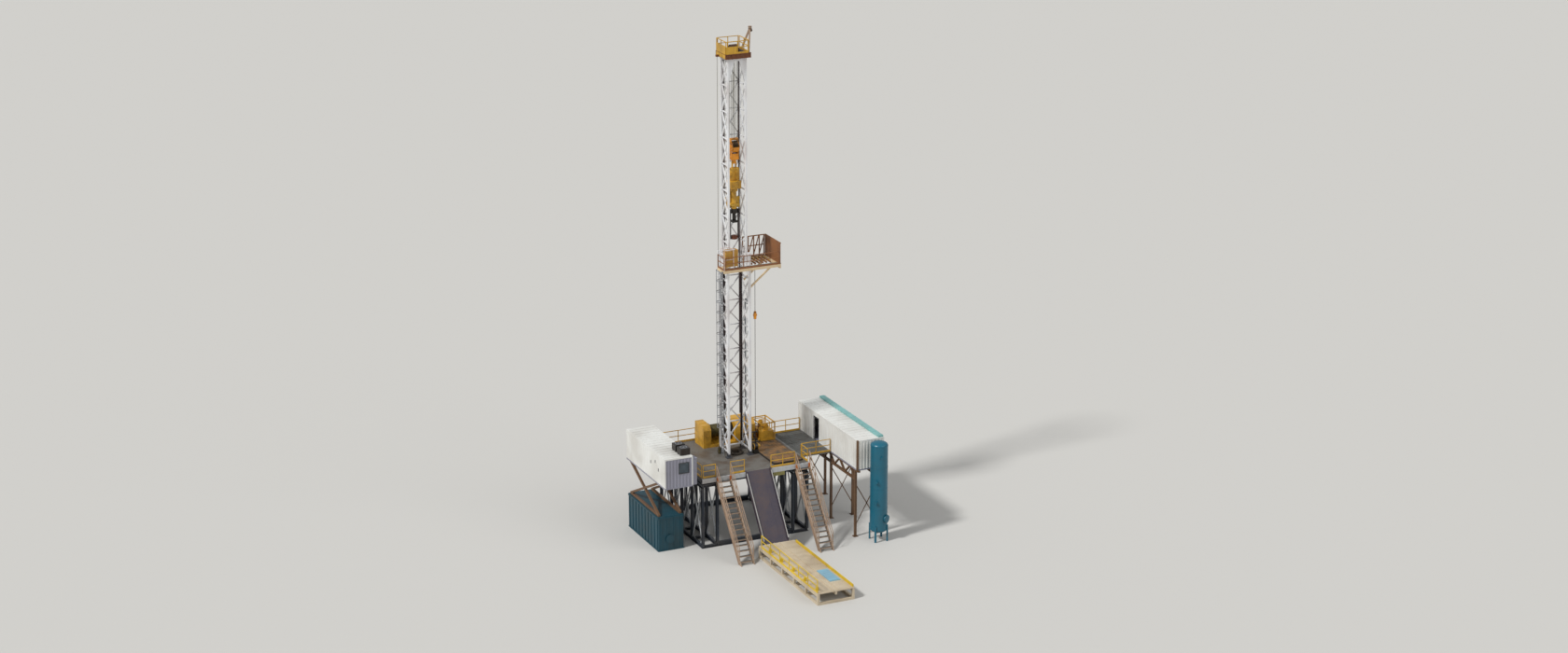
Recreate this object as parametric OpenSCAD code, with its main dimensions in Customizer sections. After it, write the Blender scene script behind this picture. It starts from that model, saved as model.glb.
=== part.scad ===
// Land drilling rig with a two-section telescoping mast, a model at half the real size.
// Millimetres, +Z up, +X to the off-driller's side, -Y towards the V-door and the catwalk.
// Sizes are worked out about the well centre, and placed() then centres the whole model.

/* [Substructure] */
// Height of the drill floor above the ground
floor_z = 3050; // [2400:50:3600]
// Width of each side box
box_w = 750; // [500:10:900]
// Width of the beams and posts of the side boxes
box_beam = 110; // [70:5:150]
// Thickness of the webs and flanges of the rolled beams
beam_web = 14; // [8:1:22]
// Width of the braces of the side boxes
box_brace = 60; // [30:5:90]
// Bays along each side box
box_bays = 4; // [2:1:6]
// Height of the ground spreaders between the boxes
spreader_h = 200; // [120:10:300]

/* [Drill floor] */
// Distance from the well centre to the floor's left edge
floor_left = 2500; // [2300:10:2600]
// Distance from the well centre to the floor's right edge
floor_right = 2300; // [2200:10:2600]
// Distance from the well centre to the floor's front edge
floor_front = 2250; // [2000:10:2500]
// Distance from the well centre to the floor's back edge
floor_back = 2200; // [2000:10:2500]
// Thickness of the deck
deck_t = 30; // [15:1:50]
// Height of the beams under the deck
floor_beam_h = 260; // [150:10:350]
// Width of the beams under the deck
floor_beam_w = 110; // [60:5:160]
// Distance of the setback mat's back edge behind the well centre
setback_back = 650; // [400:10:750]
// Distance of the setback mat's left edge from the well centre
setback_left = 850; // [750:10:1000]
// Radius of the rotary table's through bore
rotary_r = 175; // [120:5:200]
// Outer radius of the rotary table
rotary_outer_r = 330; // [280:5:380]
// Height of the rotary table above the deck
rotary_rise = 45; // [20:5:90]

/* [Handrails] */
// Distance of the walkways' ends from the well centre, front and back, at the doghouse
left_walk_y = [-1300, 1100]; // [-1500:10:1400]
// Distance of the walkways' ends from the well centre, front and back, at the right-hand house
right_walk_y = [-1500, 1500]; // [-1800:10:1700]
// Height of the handrails
rail_h = 550; // [450:10:650]
// Width of a handrail tube
rail_w = 26; // [16:1:40]
// Greatest spacing of the handrail posts
rail_pitch = 900; // [600:50:1400]

/* [Mast] */
// Outer width of the mast's lower section
lower_w = 1050; // [950:10:1150]
// Outer depth of the mast's lower section
lower_d = 925; // [850:5:1000]
// Width of a leg of the lower section
lower_leg = 90; // [70:2:110]
// Width of a leg of the upper section
upper_leg = 75; // [60:1:85]
// Slack between the upper section's legs and the lower section's
splice_gap = 12; // [6:1:20]
// Height of the lower section's top above the floor
lower_top = 8700; // [8500:50:9200]
// Length of the upper section inside the lower one
splice_l = 700; // [400:50:1000]
// Height of the crown platform's underside above the floor
crown_z = 16800; // [16400:50:17200]
// Width of the mast's struts and diagonals
lattice_w = 44; // [30:2:56]
// Bays of bracing in the lower section
lower_bays = 8; // [5:1:10]
// Bays of bracing in the upper section
upper_bays = 8; // [5:1:10]
// Height of the shoes under the mast's legs
shoe_h = 150; // [100:10:220]
// Height of the standpipe's straight part above the floor
standpipe_h = 6400; // [5600:50:7200]

/* [Hoisting gear] */
// Distance of the traveller's highest point above the floor at rest
block_top = 13450; // [12800:50:13900]
// Radius of the sheaves in the crown and in the travelling block
sheave_r = 215; // [170:5:225]
// Radius of the sheave that leads the fast line down to the drum
fast_sheave_r = 150; // [120:5:180]
// Thickness of a sheave
sheave_t = 38; // [24:1:42]
// Spacing of the sheaves along their shaft
sheave_pitch = 62; // [50:1:70]
// Sheaves in the travelling block
block_sheaves = 4; // [3:1:5]
// Diameter of the drilling line
line_d = 16; // [10:1:20]
// Width of a guide rail
guide_w = 40; // [30:1:50]
// Clearance between the dolly's shoes and the guide rails
guide_clear = 6; // [5:1:10]
// Width of the top drive's gear case
drive_w = 470; // [380:5:520]
// Width of the drawworks' skid on the left and right of the well centre
skid_x = [-1000, 1350]; // [-1200:10:1400]
// Distance of the drawworks' skid behind the well centre, front and back
skid_y = [1000, 1900]; // [900:10:2000]
// Height of the drawworks' housings above the floor
housing_h = 950; // [800:10:1050]
// Height of the hydraulic unit's tube frame above the floor
hydraulic_h = 800; // [760:10:1000]
// Height of the hydraulic unit's tank above the floor
hydraulic_tank_h = 420; // [250:10:460]
// Distance of the hydraulic unit's motors from its ends
motor_inset = 220; // [190:5:300]
// Radius of the hydraulic unit's motors
motor_r = 105; // [80:1:130]
// Height of the hook block on the service hoist's line above the floor
hoist_hook_z = 5850; // [3000:50:6400]
// Height of the gin pole's tip above the crown platform
pole_h = 920; // [700:10:1100]
// Distance between the lifting links
link_span = 300; // [240:10:360]
// Length of the lifting links
link_l = 1150; // [900:10:1400]

/* [Racking board] */
// Height of the racking board above the floor
board_z = 8250; // [8000:50:8450]
// Distance from the well centre to the board's right end
board_right = 1600; // [1400:10:1900]
// Distance from the well centre to the board's left end
board_left = 925; // [800:10:1100]
// Distance from the well centre to the board's front edge
board_front = 1050; // [950:10:1200]
// Slots between the fingers
finger_slots = 6; // [4:1:8]
// Width of a finger
finger_w = 45; // [30:1:60]
// Height of the panels at the board's back and right end
board_panel_h = 900; // [600:10:1100]
// Drop of the knee braces under the racking board
board_knee = 940; // [700:10:1200]

/* [Doghouse and right-hand house] */
// Width of the houses
house_w = 1220; // [1000:10:1400]
// Height of the houses from the underside of the floor to the roof's top
house_h = 1300; // [1150:10:1450]
// Thickness of the houses' walls
house_wall = 40; // [25:1:60]
// Depth of the corrugations in the houses' walls
wave_depth = 16; // [8:1:22]
// Greatest width of a corrugation in the houses' walls
wave_pitch = 160; // [100:10:260]
// Thickness of the houses' floors and roofs
house_slab = 60; // [40:1:90]
// Length of the doghouse
doghouse_l = 4100; // [3600:50:4600]
// Distance from the well centre to the doghouse's outer wall
doghouse_left = 4300; // [4200:10:4500]
// Distance from the well centre to the doghouse's front wall
doghouse_front = 2700; // [2400:10:2900]
// Length of the right-hand house
right_house_l = 5650; // [5200:50:6000]
// Distance from the well centre to the right-hand house's outer wall
right_house_right = 4900; // [4700:10:5200]
// Distance from the well centre to the right-hand house's front wall
right_house_front = 3950; // [3700:10:4200]
// Height of the water tank under the doghouse
tank_h = 1450; // [1200:10:1700]
// Distance of the water tank behind the doghouse's front wall
tank_back = 900; // [700:10:1200]
// Places of the doorways in the houses' long walls, from the well centre to the doorway's front edge
door_y = [-600, -300]; // [-1200:10:1000]
// Width and height of the doorways
door = [450, 1020]; // [380:10:1060]
// Place and size of the doghouse's window onto the floor: from the well centre, sill, width, height
side_window = [-2300, 450, 900, 400]; // [-2400:10:1000]
// Place and size of the doghouse's end window: from the outer wall, sill, width, height
end_window = [620, 560, 420, 420]; // [300:10:700]

/* [Ramp, stairs and catwalk] */
// Width of the V-door ramp
ramp_w = 1050; // [800:10:1300]
// Length of the ramp on plan
ramp_run = 1800; // [1500:10:2200]
// Height of the catwalk
catwalk_z = 500; // [400:10:650]
// Length of the catwalk
catwalk_l = 5550; // [4500:50:6500]
// Width of the catwalk
catwalk_w = 1600; // [1300:10:1900]
// Width of a stair
stair_w = 600; // [500:10:700]
// Length of a stair on plan
stair_run = 2450; // [2200:10:2800]
// Treads of a stair
stair_treads = 16; // [12:1:20]

/* [Separator vessel] */
// Radius of the vessel
vessel_r = 360; // [280:10:400]
// Height of the vessel's top
vessel_h = 4300; // [3600:50:4600]

/* [Hidden] */
$fn = 32;

centre_x = (right_house_right - doghouse_left) / 2;
catwalk_end = floor_front + ramp_run + catwalk_l;
centre_y = (floor_back - catwalk_end) / 2;

floor_w = floor_left + floor_right;
floor_d = floor_front + floor_back;
beam_base = floor_z - deck_t - floor_beam_h;
inner_left = box_w - floor_left;
inner_right = floor_right - box_w;
box_x = [-floor_left, floor_right - box_w];

upper_w = lower_w - 2 * lower_leg - 2 * splice_gap;
upper_d = lower_d - 2 * lower_leg - 2 * splice_gap;
upper_base = floor_z + lower_top - splice_l;
lower_base = floor_z + shoe_h;
crown_base = floor_z + crown_z;
crown_beam_h = 200;
crown_over = 130;
crown_half_x = upper_w / 2 + crown_over;
crown_half_y = upper_d / 2 + crown_over;
crown_axis_z = crown_base + crown_beam_h + 70;
crown_count = block_sheaves + 1;
bearing_x = crown_count * sheave_pitch / 2 + 30;
groove_depth = line_d * 0.96;
groove_half = line_d * 0.27;
strand_y = sheave_r - groove_depth + line_d / 2 + 0.3;
fast_y = crown_half_y + fast_sheave_r + 15;
fast_z = crown_base + 20;
dead_x = -crown_half_x - 70;
dead_y = 200;
drum_y = 1500;
drum_z = floor_z + 560;
drum_r = 250;
flange_r = 330;
setback_t = 70;
walk_t = 60;
rail_edge = 12;
hydraulic_base_h = 70;
hydraulic_tube = 40;

block_z = floor_z + block_top;
block_h = 1050;
block_axis_z = block_z - 340;
block_plate_t = 26;
block_half_x = (block_sheaves * sheave_pitch) / 2 + 12;
drive_top = block_z - block_h - 160;
bail_z = block_z - block_h;
bail_pin_r = 20;
drive_motor_h = 560;
drive_gear_h = 300;
drive_gear_z = drive_top - drive_motor_h - drive_gear_h;
drive_neck_h = 430;
dolly_h = 450;
dolly_z = drive_gear_z - drive_neck_h - dolly_h;
guide_x = upper_w / 2 - upper_leg - guide_w / 2;
guide_y = 225;
link_pin_r = 50;
link_top = dolly_z - 90;
dolly_y = 190;
elevator_z = link_top - link_l;
travel_down = block_top - (block_z - elevator_z) - 700;
guide_base = dolly_z - travel_down - 300;

board_deck_z = floor_z + board_z;
board_beam_h = 110;
finger_back = lower_d / 2 - lower_leg;
finger_front = -lower_d / 2;
finger_start = lower_w / 2 + 30;
finger_bay = board_right - 60 - finger_start;
finger_pitch = finger_bay / finger_slots;
board_inner = 750;

house_bottom = floor_z - house_slab;
roof_z = house_bottom + house_h;
tray_w = 230;
unit_w = 420;
unit_l = 380;
unit_h = 300;
cabinet_w = 210;
cabinet_d = 260;
cabinet_h = 1080;
doghouse_back = doghouse_l - doghouse_front;
right_house_back = right_house_l - right_house_front;
doghouse_inner = doghouse_left - house_w;
right_house_inner = right_house_right - house_w;
stair_top_x = [-floor_left + 650, floor_right - stair_w];
ramp_foot_y = -floor_front - ramp_run;

// A block between two limits on each axis
module slab(x, y, z) {
    translate([x[0], y[0], z[0]]) cube([x[1] - x[0], y[1] - y[0], z[1] - z[0]]);
}

// A flat bar from point a to point b, as a 2D shape
module bar_2d(a, b, w) {
    run = b - a;
    translate(a)
        rotate(atan2(run[1], run[0]))
        translate([0, -w / 2])
        square([norm(run), w]);
}

// A square bar from point a to point b in space
module bar(a, b, w) {
    run = b - a;
    flat = norm([run[0], run[1]]);
    translate(a)
        rotate([0, 0, atan2(run[1], run[0])])
        rotate([0, -atan2(run[2], flat), 0])
        translate([0, -w / 2, -w / 2])
        cube([norm(run), w, w]);
}

// Stands a 2D shape up in the plane across X, from x to x + t
module across_x(x, t) {
    translate([x, 0, 0]) rotate([90, 0, 90]) linear_extrude(t) children();
}

// Stands a 2D shape up in the plane across Y, from y to y + t
module across_y(y, t) {
    translate([0, y + t, 0]) rotate([90, 0, 0]) linear_extrude(t) children();
}

// Crossed bracing in bays between two heights, with a strut at each bay's foot and top
module lattice_2d(u0, u1, v0, v1, bays, w, crossed) {
    step = (v1 - v0) / bays;
    intersection() {
        translate([u0, v0]) square([u1 - u0, v1 - v0]);
        union() {
            for (i = [0 : bays]) {
                v = v0 + i * step;
                translate([u0, min(max(v - w / 2, v0), v1 - w)]) square([u1 - u0, w]);
            }
            for (i = [0 : bays - 1]) {
                low = v0 + i * step;
                high = low + step;
                up = i % 2 == 0;
                if (crossed || up) bar_2d([u0, low + w / 2], [u1, high - w / 2], w);
                if (crossed || !up) bar_2d([u1, low + w / 2], [u0, high - w / 2], w);
            }
        }
    }
}

// A round bar from point a to point b in space
module rope(a, b, d) {
    run = b - a;
    flat = norm([run[0], run[1]]);
    translate(a)
        rotate([0, atan2(flat, run[2]), atan2(run[1], run[0])])
        cylinder(h = norm(run), r = d / 2, $fn = 8);
}

// A straight handrail in 2D, from u0 to u1 on a floor at height v
module rail_2d(u0, u1, v, h) {
    posts = max(1, ceil((u1 - u0) / rail_pitch));
    step = (u1 - u0 - rail_w) / posts;
    for (i = [0 : posts]) translate([u0 + i * step, v]) square([rail_w, h]);
    translate([u0, v + h - rail_w]) square([u1 - u0, rail_w]);
    translate([u0, v + h / 2]) square([u1 - u0, rail_w]);
    translate([u0, v]) square([u1 - u0, 70]);
}

// Moves the model from the well centre to the middle of its own box
module placed() {
    translate([-centre_x, -centre_y, 0]) children();
}

// Section of a rolled H-beam: two flanges joined by a web, centred on the origin
module h_section(w, h) {
    square([beam_web, h], center = true);
    for (side = [-1, 1]) translate([0, side * (h - beam_web) / 2]) square([w, beam_web], center = true);
}

// A rolled beam along Y with its web upright, between two limits, on a base height
module beam_along_y(x, y0, y1, z, w, h) {
    translate([x + w / 2, y1, z + h / 2])
        rotate([90, 0, 0])
        linear_extrude(y1 - y0)
        h_section(w, h);
}

// A rolled beam along X with its web upright, between two limits, on a base height
module beam_along_x(x0, x1, y, z, w, h) {
    translate([x0, y + w / 2, z + h / 2])
        rotate([90, 0, 90])
        linear_extrude(x1 - x0)
        h_section(w, h);
}

module side_box(x0) {
    step = (floor_d - box_beam) / box_bays;
    chord_h = box_beam * 1.4;
    for (x = [x0, x0 + box_w - box_beam]) {
        for (z = [0, beam_base - chord_h])
            beam_along_y(x, -floor_front, floor_back, z, box_beam, chord_h);
        for (i = [0 : box_bays])
            translate([x + box_beam / 2, -floor_front + i * step + box_beam / 2, chord_h - 1])
                rotate(90)
                linear_extrude(beam_base - 2 * chord_h + 2)
                h_section(box_beam, box_beam);
        across_x(x + box_beam * 0.25, box_beam * 0.5)
            for (i = [0 : box_bays - 1]) {
                u = -floor_front + i * step + box_beam / 2;
                lattice_2d(u, u + step, chord_h - 1, beam_base - chord_h + 1, 1, box_brace, true);
            }
    }
    for (i = [0 : box_bays])
        for (z = [0, beam_base - box_beam])
            beam_along_x(x0 + box_beam / 2, x0 + box_w - box_beam / 2, -floor_front + i * step, z, box_beam,
                box_beam);
}

module left_side_box() {
    color("#1d2530") placed() side_box(box_x[0]);
}

module right_side_box() {
    color("#1d2530") placed() side_box(box_x[1]);
}

module spreaders() {
    color("#232c38") placed()
        for (y = [-floor_front, floor_back - box_beam])
            beam_along_x(inner_left, inner_right, y, 0, box_beam, spreader_h);
}

module floor_beams() {
    lines_y = [-floor_front, -floor_front / 2 - 60, -rotary_outer_r - floor_beam_w, rotary_outer_r,
        floor_back / 2 + 60, floor_back - floor_beam_w];
    lines_x = [-floor_left, inner_left - floor_beam_w, -rotary_outer_r - floor_beam_w,
        rotary_outer_r, inner_right, floor_right - floor_beam_w];
    color("#232c38") placed() {
        for (y = lines_y) beam_along_x(-floor_left, floor_right, y, beam_base, floor_beam_w, floor_beam_h);
        for (x = lines_x) beam_along_y(x, -floor_front, floor_back, beam_base, floor_beam_w, floor_beam_h);
    }
}

module floor_deck() {
    color("#6a6a68") placed()
        translate([0, 0, floor_z - deck_t])
        difference() {
            translate([-floor_left, -floor_front, 0]) cube([floor_w, floor_d, deck_t]);
            translate([0, 0, -1]) cylinder(h = deck_t + 2, r = rotary_outer_r - 40);
        }
}

module side_walkways() {
    color("#77736a") placed() {
        slab([-doghouse_inner, -floor_left], left_walk_y, [floor_z - walk_t, floor_z]);
        slab([floor_right, right_house_inner], right_walk_y, [floor_z - walk_t, floor_z]);
    }
}

module rotary_table() {
    color("#4a3a2c") placed()
        difference() {
            union() {
                translate([0, 0, floor_z]) cylinder(h = rotary_rise, r = rotary_outer_r);
                translate([0, 0, floor_z - deck_t - 150]) cylinder(h = deck_t + 151, r = rotary_outer_r - 45);
            }
            translate([0, 0, floor_z - deck_t - 160])
                cylinder(h = deck_t + rotary_rise + 200, r = rotary_r);
        }
}

module setback_mat() {
    color("#7a5a38") placed()
        slab([setback_left, floor_right - 150], [-floor_front + 250, setback_back], [floor_z, floor_z + setback_t]);
}

module floor_handrails() {
    left = -floor_left + rail_edge;
    right = floor_right - rail_w - rail_edge;
    front = -floor_front + rail_edge;
    color("#b48a3c") placed() {
        across_y(floor_back - rail_w - rail_edge, rail_w)
            rail_2d(-floor_left + 60, floor_right - 60, floor_z, rail_h);
        across_x(left, rail_w) rail_2d(left_walk_y[1] + 50, floor_back - 60, floor_z, rail_h);
        across_x(left, rail_w) rail_2d(-floor_front + 60, left_walk_y[0] - 50, floor_z, rail_h);
        across_x(right, rail_w) rail_2d(right_walk_y[1] + 50, floor_back - 60, floor_z, rail_h);
        across_x(right, rail_w) rail_2d(-floor_front + 60, right_walk_y[0] - 50, floor_z, rail_h);
        across_y(front, rail_w) rail_2d(stair_top_x[0] + stair_w + 20, -ramp_w / 2 - 60, floor_z, rail_h);
        across_y(front, rail_w) rail_2d(ramp_w / 2 + 60, stair_top_x[1] - 20, floor_z, rail_h);
        across_y(front, rail_w) rail_2d(-floor_left + 60, stair_top_x[0] - 20, floor_z, rail_h);
        for (y = [right_walk_y[0], right_walk_y[1] - rail_w])
            across_y(y, rail_w) rail_2d(floor_right + 30, right_house_inner - 30, floor_z, rail_h);
        for (y = [left_walk_y[0], left_walk_y[1] - rail_w])
            across_y(y, rail_w) rail_2d(-doghouse_inner + 30, -floor_left - 30, floor_z, rail_h);
    }
}

shoe_half = 120;

module mast_shoes() {
    color("#3a3c42") placed()
        for (x = [-1, 1] * (lower_w - lower_leg) / 2)
            for (y = [-1, 1] * (lower_d - lower_leg) / 2)
                translate([x, y, floor_z]) {
                    slab([-shoe_half, shoe_half], [-shoe_half, shoe_half], [0, 30]);
                    translate([-lower_leg / 2 - 18, -60, 29]) cube([lower_leg + 36, 120, shoe_h - 29]);
                    for (side = [-1, 1])
                        translate([side * (lower_leg / 2 + 10) - 8, -60, 30])
                            cube([16, 120, shoe_h + 25]);
                }
}

// One side of a mast section: two square legs with lighter bracing between them
module mast_side(x, depth, leg, base, top, bays) {
    brace_t = leg * 0.6;
    half = depth / 2;
    for (y = [-half, half - leg]) slab([x, x + leg], [y, y + leg], [base, top]);
    across_x(x + (leg - brace_t) / 2, brace_t)
        lattice_2d(-half + leg - 1, half - leg + 1, base + 60, top - 60, bays, lattice_w, true);
}

module mast_lower_sides() {
    top = floor_z + lower_top;
    plate_in = upper_w / 2;
    plate_out = lower_w / 2 - lower_leg / 2;
    face_y = lower_d / 2 - lower_leg;
    color("#cfd2d6") placed() {
        for (side = [0, 1])
            mirror([side, 0, 0]) {
                mast_side(lower_w / 2 - lower_leg, lower_d, lower_leg, lower_base, top, lower_bays);
                for (back = [0, 1])
                    for (z = [upper_base, top - 120])
                        mirror([0, back, 0])
                            slab([plate_in, plate_out], [face_y - splice_gap - 40, face_y + 1], [z, z + 120]);
            }
    }
}

module mast_lower_back() {
    half = lower_w / 2 - lower_leg;
    brace_t = lower_leg * 0.6;
    color("#cfd2d6") placed()
        across_y(lower_d / 2 - (lower_leg + brace_t) / 2, brace_t)
        lattice_2d(-half, half, lower_base + 60, floor_z + lower_top - 60, lower_bays, lattice_w, true);
}

module mast_upper_sides() {
    color("#d6d8da") placed() {
        mast_side(-upper_w / 2, upper_d, upper_leg, upper_base, crown_base, upper_bays);
        mast_side(upper_w / 2 - upper_leg, upper_d, upper_leg, upper_base, crown_base, upper_bays);
    }
}

module mast_upper_back() {
    half = upper_w / 2 - upper_leg;
    brace_t = upper_leg * 0.6;
    color("#d6d8da") placed()
        across_y(upper_d / 2 - (upper_leg + brace_t) / 2, brace_t)
        lattice_2d(-half, half, upper_base + 60, crown_base, upper_bays, lattice_w, true);
}

module mast_portal() {
    half = upper_w / 2 - upper_leg;
    depth = 900;
    color("#d6d8da") placed()
        across_y(-upper_d / 2 + 15, 30)
        difference() {
            translate([-half, crown_base - depth]) square([half * 2, depth]);
            polygon([[-half + 40, crown_base - depth - 1], [half - 40, crown_base - depth - 1],
                [half - 40, crown_base - depth + 60], [110, crown_base - 130],
                [-110, crown_base - 130], [-half + 40, crown_base - depth + 60]]);
        }
}

// Heights of the struts of a mast section, between its first and last
function strut_heights(base, top, bays) =
    [for (i = [1 : bays - 1]) base + 60 + i * (top - base - 120) / bays];

module guide_rails() {
    low_in = lower_w / 2 - lower_leg * 0.8;
    high_in = upper_w / 2 - upper_leg * 0.8;
    y = [guide_y + 2, guide_y + guide_w - 2];
    half = lattice_w / 2;
    color("#8e9094") placed()
        for (side = [0, 1])
            mirror([side, 0, 0]) {
                slab([guide_x - guide_w / 2, guide_x + guide_w / 2], [guide_y, guide_y + guide_w],
                    [guide_base, crown_base]);
                for (z = strut_heights(lower_base, floor_z + lower_top, lower_bays))
                    if (z > guide_base + half && z < upper_base - half)
                        slab([guide_x, low_in], y, [z - half, z + half]);
                for (z = strut_heights(upper_base, crown_base, upper_bays))
                    slab([guide_x, high_in], y, [z - half, z + half]);
            }
}

module mast_ladder() {
    rung_pitch = 150;
    ladder_w = 230;
    ladder_h = board_z - 60;
    x0 = -lower_w / 2 - 60;
    color("#6f7278") placed() {
        across_x(x0, 26) {
            for (u = [-ladder_w / 2, ladder_w / 2 - 30]) translate([u, floor_z]) square([30, ladder_h]);
            for (i = [1 : floor(ladder_h / rung_pitch)])
                translate([-ladder_w / 2, floor_z + i * rung_pitch - 10]) square([ladder_w, 20]);
        }
        for (i = [0 : lower_bays - 1]) {
            z = lower_base + 60 + i * (lower_top - shoe_h - 120) / lower_bays;
            if (z < floor_z + ladder_h - 50)
                slab([x0 + 10, -lower_w / 2 + lower_leg * 0.2], [-ladder_w / 2, ladder_w / 2], [z, z + 30]);
        }
    }
}

module standpipe() {
    r = 36;
    bend = 110;
    flange_r = r * 1.6;
    x = (lower_w - lower_leg) / 2 + shoe_half + flange_r + 4;
    y = (lower_d - lower_leg) / 2;
    top = floor_z + standpipe_h;
    color("#9a9ca0") placed() {
        translate([x, y, floor_z]) cylinder(h = top - floor_z, r = r);
        translate([x, y, floor_z]) cylinder(h = 60, r = flange_r);
        for (i = [1 : 4]) {
            z = floor_z + i * standpipe_h / 4.6;
            slab([lower_w / 2, x], [y - 20, y + 20], [z, z + 40]);
        }
        translate([x, y - bend, top])
            rotate([90, 0, 90])
            rotate_extrude(angle = 180)
            translate([bend, 0])
            circle(r = r);
        translate([x, y - 2 * bend, top - 60]) cylinder(h = 61, r = r * 1.3);
    }
}

module crown_platform() {
    hole_x = crown_half_x - 130;
    hole_y = crown_half_y - 90;
    color("#6e4a2c") placed()
        translate([0, 0, crown_base]) {
            linear_extrude(crown_beam_h) {
                difference() {
                    translate([-crown_half_x, -crown_half_y]) square([2 * crown_half_x, 2 * crown_half_y]);
                    translate([-hole_x, -hole_y]) square([2 * hole_x, 2 * hole_y]);
                }
                for (side = [-1, 1])
                    translate([side * bearing_x - 30, -crown_half_y]) square([60, crown_half_y + fast_y + 40]);
            }
            for (x = [-bearing_x, bearing_x])
                slab([x - 25, x + 25], [-110, 110], [crown_beam_h - 1, crown_axis_z - crown_base + 70]);
            slab([dead_x - 50, -crown_half_x + 1], [dead_y - 50, dead_y + 50], [0, 80]);
        }
}

// A grooved sheave about the X axis, centred on the origin
module sheave(r) {
    half = sheave_t / 2;
    web = half * 0.45;
    floor_r = r - groove_depth;
    rotate([0, 90, 0])
        rotate_extrude($fn = 64)
        polygon([[26, -half], [60, -half], [70, -web], [floor_r - 20, -web], [floor_r - 8, -half],
            [r, -half], [floor_r, -groove_half], [floor_r, groove_half], [r, half],
            [floor_r - 8, half], [floor_r - 20, web], [70, web], [60, half], [26, half]]);
}

module shaft(x0, x1, r) {
    translate([x0, 0, 0]) rotate([0, 90, 0]) cylinder(h = x1 - x0, r = r);
}

module crown_sheaves() {
    color("#5a4636") placed() {
        translate([0, 0, crown_axis_z]) {
            for (i = [0 : crown_count - 1])
                translate([(i - (crown_count - 1) / 2) * sheave_pitch, 0, 0]) sheave(sheave_r);
            shaft(-bearing_x + 25, bearing_x - 25, 27);
        }
        translate([0, fast_y, fast_z + 60]) {
            sheave(fast_sheave_r);
            shaft(-bearing_x + 30, bearing_x - 30, 27);
        }
    }
}

module crown_rails() {
    base = crown_base + crown_beam_h;
    h = 520;
    right_x = crown_half_x - pole_foot - 60;
    color("#b0964a") placed() {
        for (x = [-crown_half_x + rail_w / 2, right_x])
            across_x(x, rail_w) rail_2d(-crown_half_y + 30, crown_half_y - 30, base, h);
        for (y = [-crown_half_y + 1, crown_half_y - rail_w - 1])
            across_y(y, rail_w) rail_2d(-crown_half_x + 60, right_x - 10, base, h);
    }
}

// Distance of the gin pole's feet from the platform's right edge
pole_foot = 45;

module gin_pole() {
    foot_x = crown_half_x - pole_foot;
    deck = crown_base + crown_beam_h;
    tip = [crown_half_x + 120, -120, deck + pole_h];
    reach = 2 * crown_half_y;
    color("#9a806c") placed()
        intersection() {
            union() {
                for (y = [-crown_half_y + 120, crown_half_y - 120]) bar([foot_x, y, deck - 60], tip, 60);
                translate([tip[0], tip[1], tip[2] - 40]) cylinder(h = 110, r = 70);
            }
            slab([foot_x - reach, foot_x + reach], [-reach, reach], [deck, deck + 2 * pole_h]);
        }
}

module drilling_lines() {
    color("#5c5230") placed()
        for (i = [0 : block_sheaves - 1])
            for (side = [-1, 1]) {
                low_x = (i - (block_sheaves - 1) / 2) * sheave_pitch;
                high_x = low_x + side * sheave_pitch / 2;
                rope([low_x, side * strand_y, block_axis_z], [high_x, side * strand_y, crown_axis_z], line_d);
            }
}

module fast_and_dead_lines() {
    color("#4a4638") placed() {
        rope([0, drum_y - drum_r - line_d / 2, drum_z],
            [0, fast_y + fast_sheave_r - groove_depth + line_d / 2 + 0.3, fast_z + 60], line_d);
        translate([dead_x, dead_y, floor_z]) {
            cylinder(h = crown_base - floor_z, r = line_d / 2, $fn = 8);
            cylinder(h = 260, r = 70);
        }
    }
}

module travelling_block() {
    plate_half = block_half_x;
    cheek_d = sheave_r - 12;
    color("#c8780f") placed()
        translate([0, 0, block_axis_z]) {
            for (side = [-1, 1])
                across_x(side * (plate_half + block_plate_t / 2) - block_plate_t / 2, block_plate_t) {
                    circle(r = cheek_d + 20, $fn = 64);
                    translate([-cheek_d * 0.62, -540]) square([cheek_d * 1.24, 540]);
                    translate([-90, 0]) square([180, 340]);
                }
            shaft(-plate_half - 50, plate_half + 50, 25.7);
            slab([-plate_half - 5, plate_half + 5], [-80, 80], [270, 335]);
            slab([-plate_half - 5, plate_half + 5], [-cheek_d * 0.6, cheek_d * 0.6], [-540, -290]);
            difference() {
                slab([-60, 60], [-70, 70], [bail_z - block_axis_z, -530]);
                translate([0, 0, bail_z + 45 - block_axis_z]) shaft(-70, 70, bail_pin_r + 0.3);
            }
        }
}

module block_sheave_set() {
    color("#7a5a34") placed()
        translate([0, 0, block_axis_z])
        for (i = [0 : block_sheaves - 1])
            translate([(i - (block_sheaves - 1) / 2) * sheave_pitch, 0, 0]) sheave(sheave_r);
}

module top_drive() {
    motor_r = 105;
    color("#c89a30") placed() {
        slab([-drive_w / 2, drive_w / 2], [-190, 190], [drive_gear_z, drive_gear_z + drive_gear_h]);
        for (side = [-1, 1])
            translate([side * (drive_w / 2 - motor_r - 8), 0, drive_gear_z + drive_gear_h - 1])
                cylinder(h = drive_motor_h - 60, r = motor_r, $fn = 48);
        translate([0, 0, drive_gear_z + drive_gear_h - 1]) cylinder(h = drive_motor_h + 1, r = 60);
        slab([-95, 95], [-70, 70], [drive_top - 100, drive_top]);
        for (side = [-1, 1])
            slab([side * 76.3 - 16, side * 76.3 + 16], [-45, 45], [drive_top - 20, bail_z + 85]);
        translate([0, 0, bail_z + 45]) shaft(-110, 110, bail_pin_r);
        translate([0, 0, dolly_z + 20]) cylinder(h = drive_gear_z - dolly_z - 19, r = 95);
        translate([0, 0, drive_gear_z - 120]) cylinder(h = 121, r = 150);
    }
}

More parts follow.
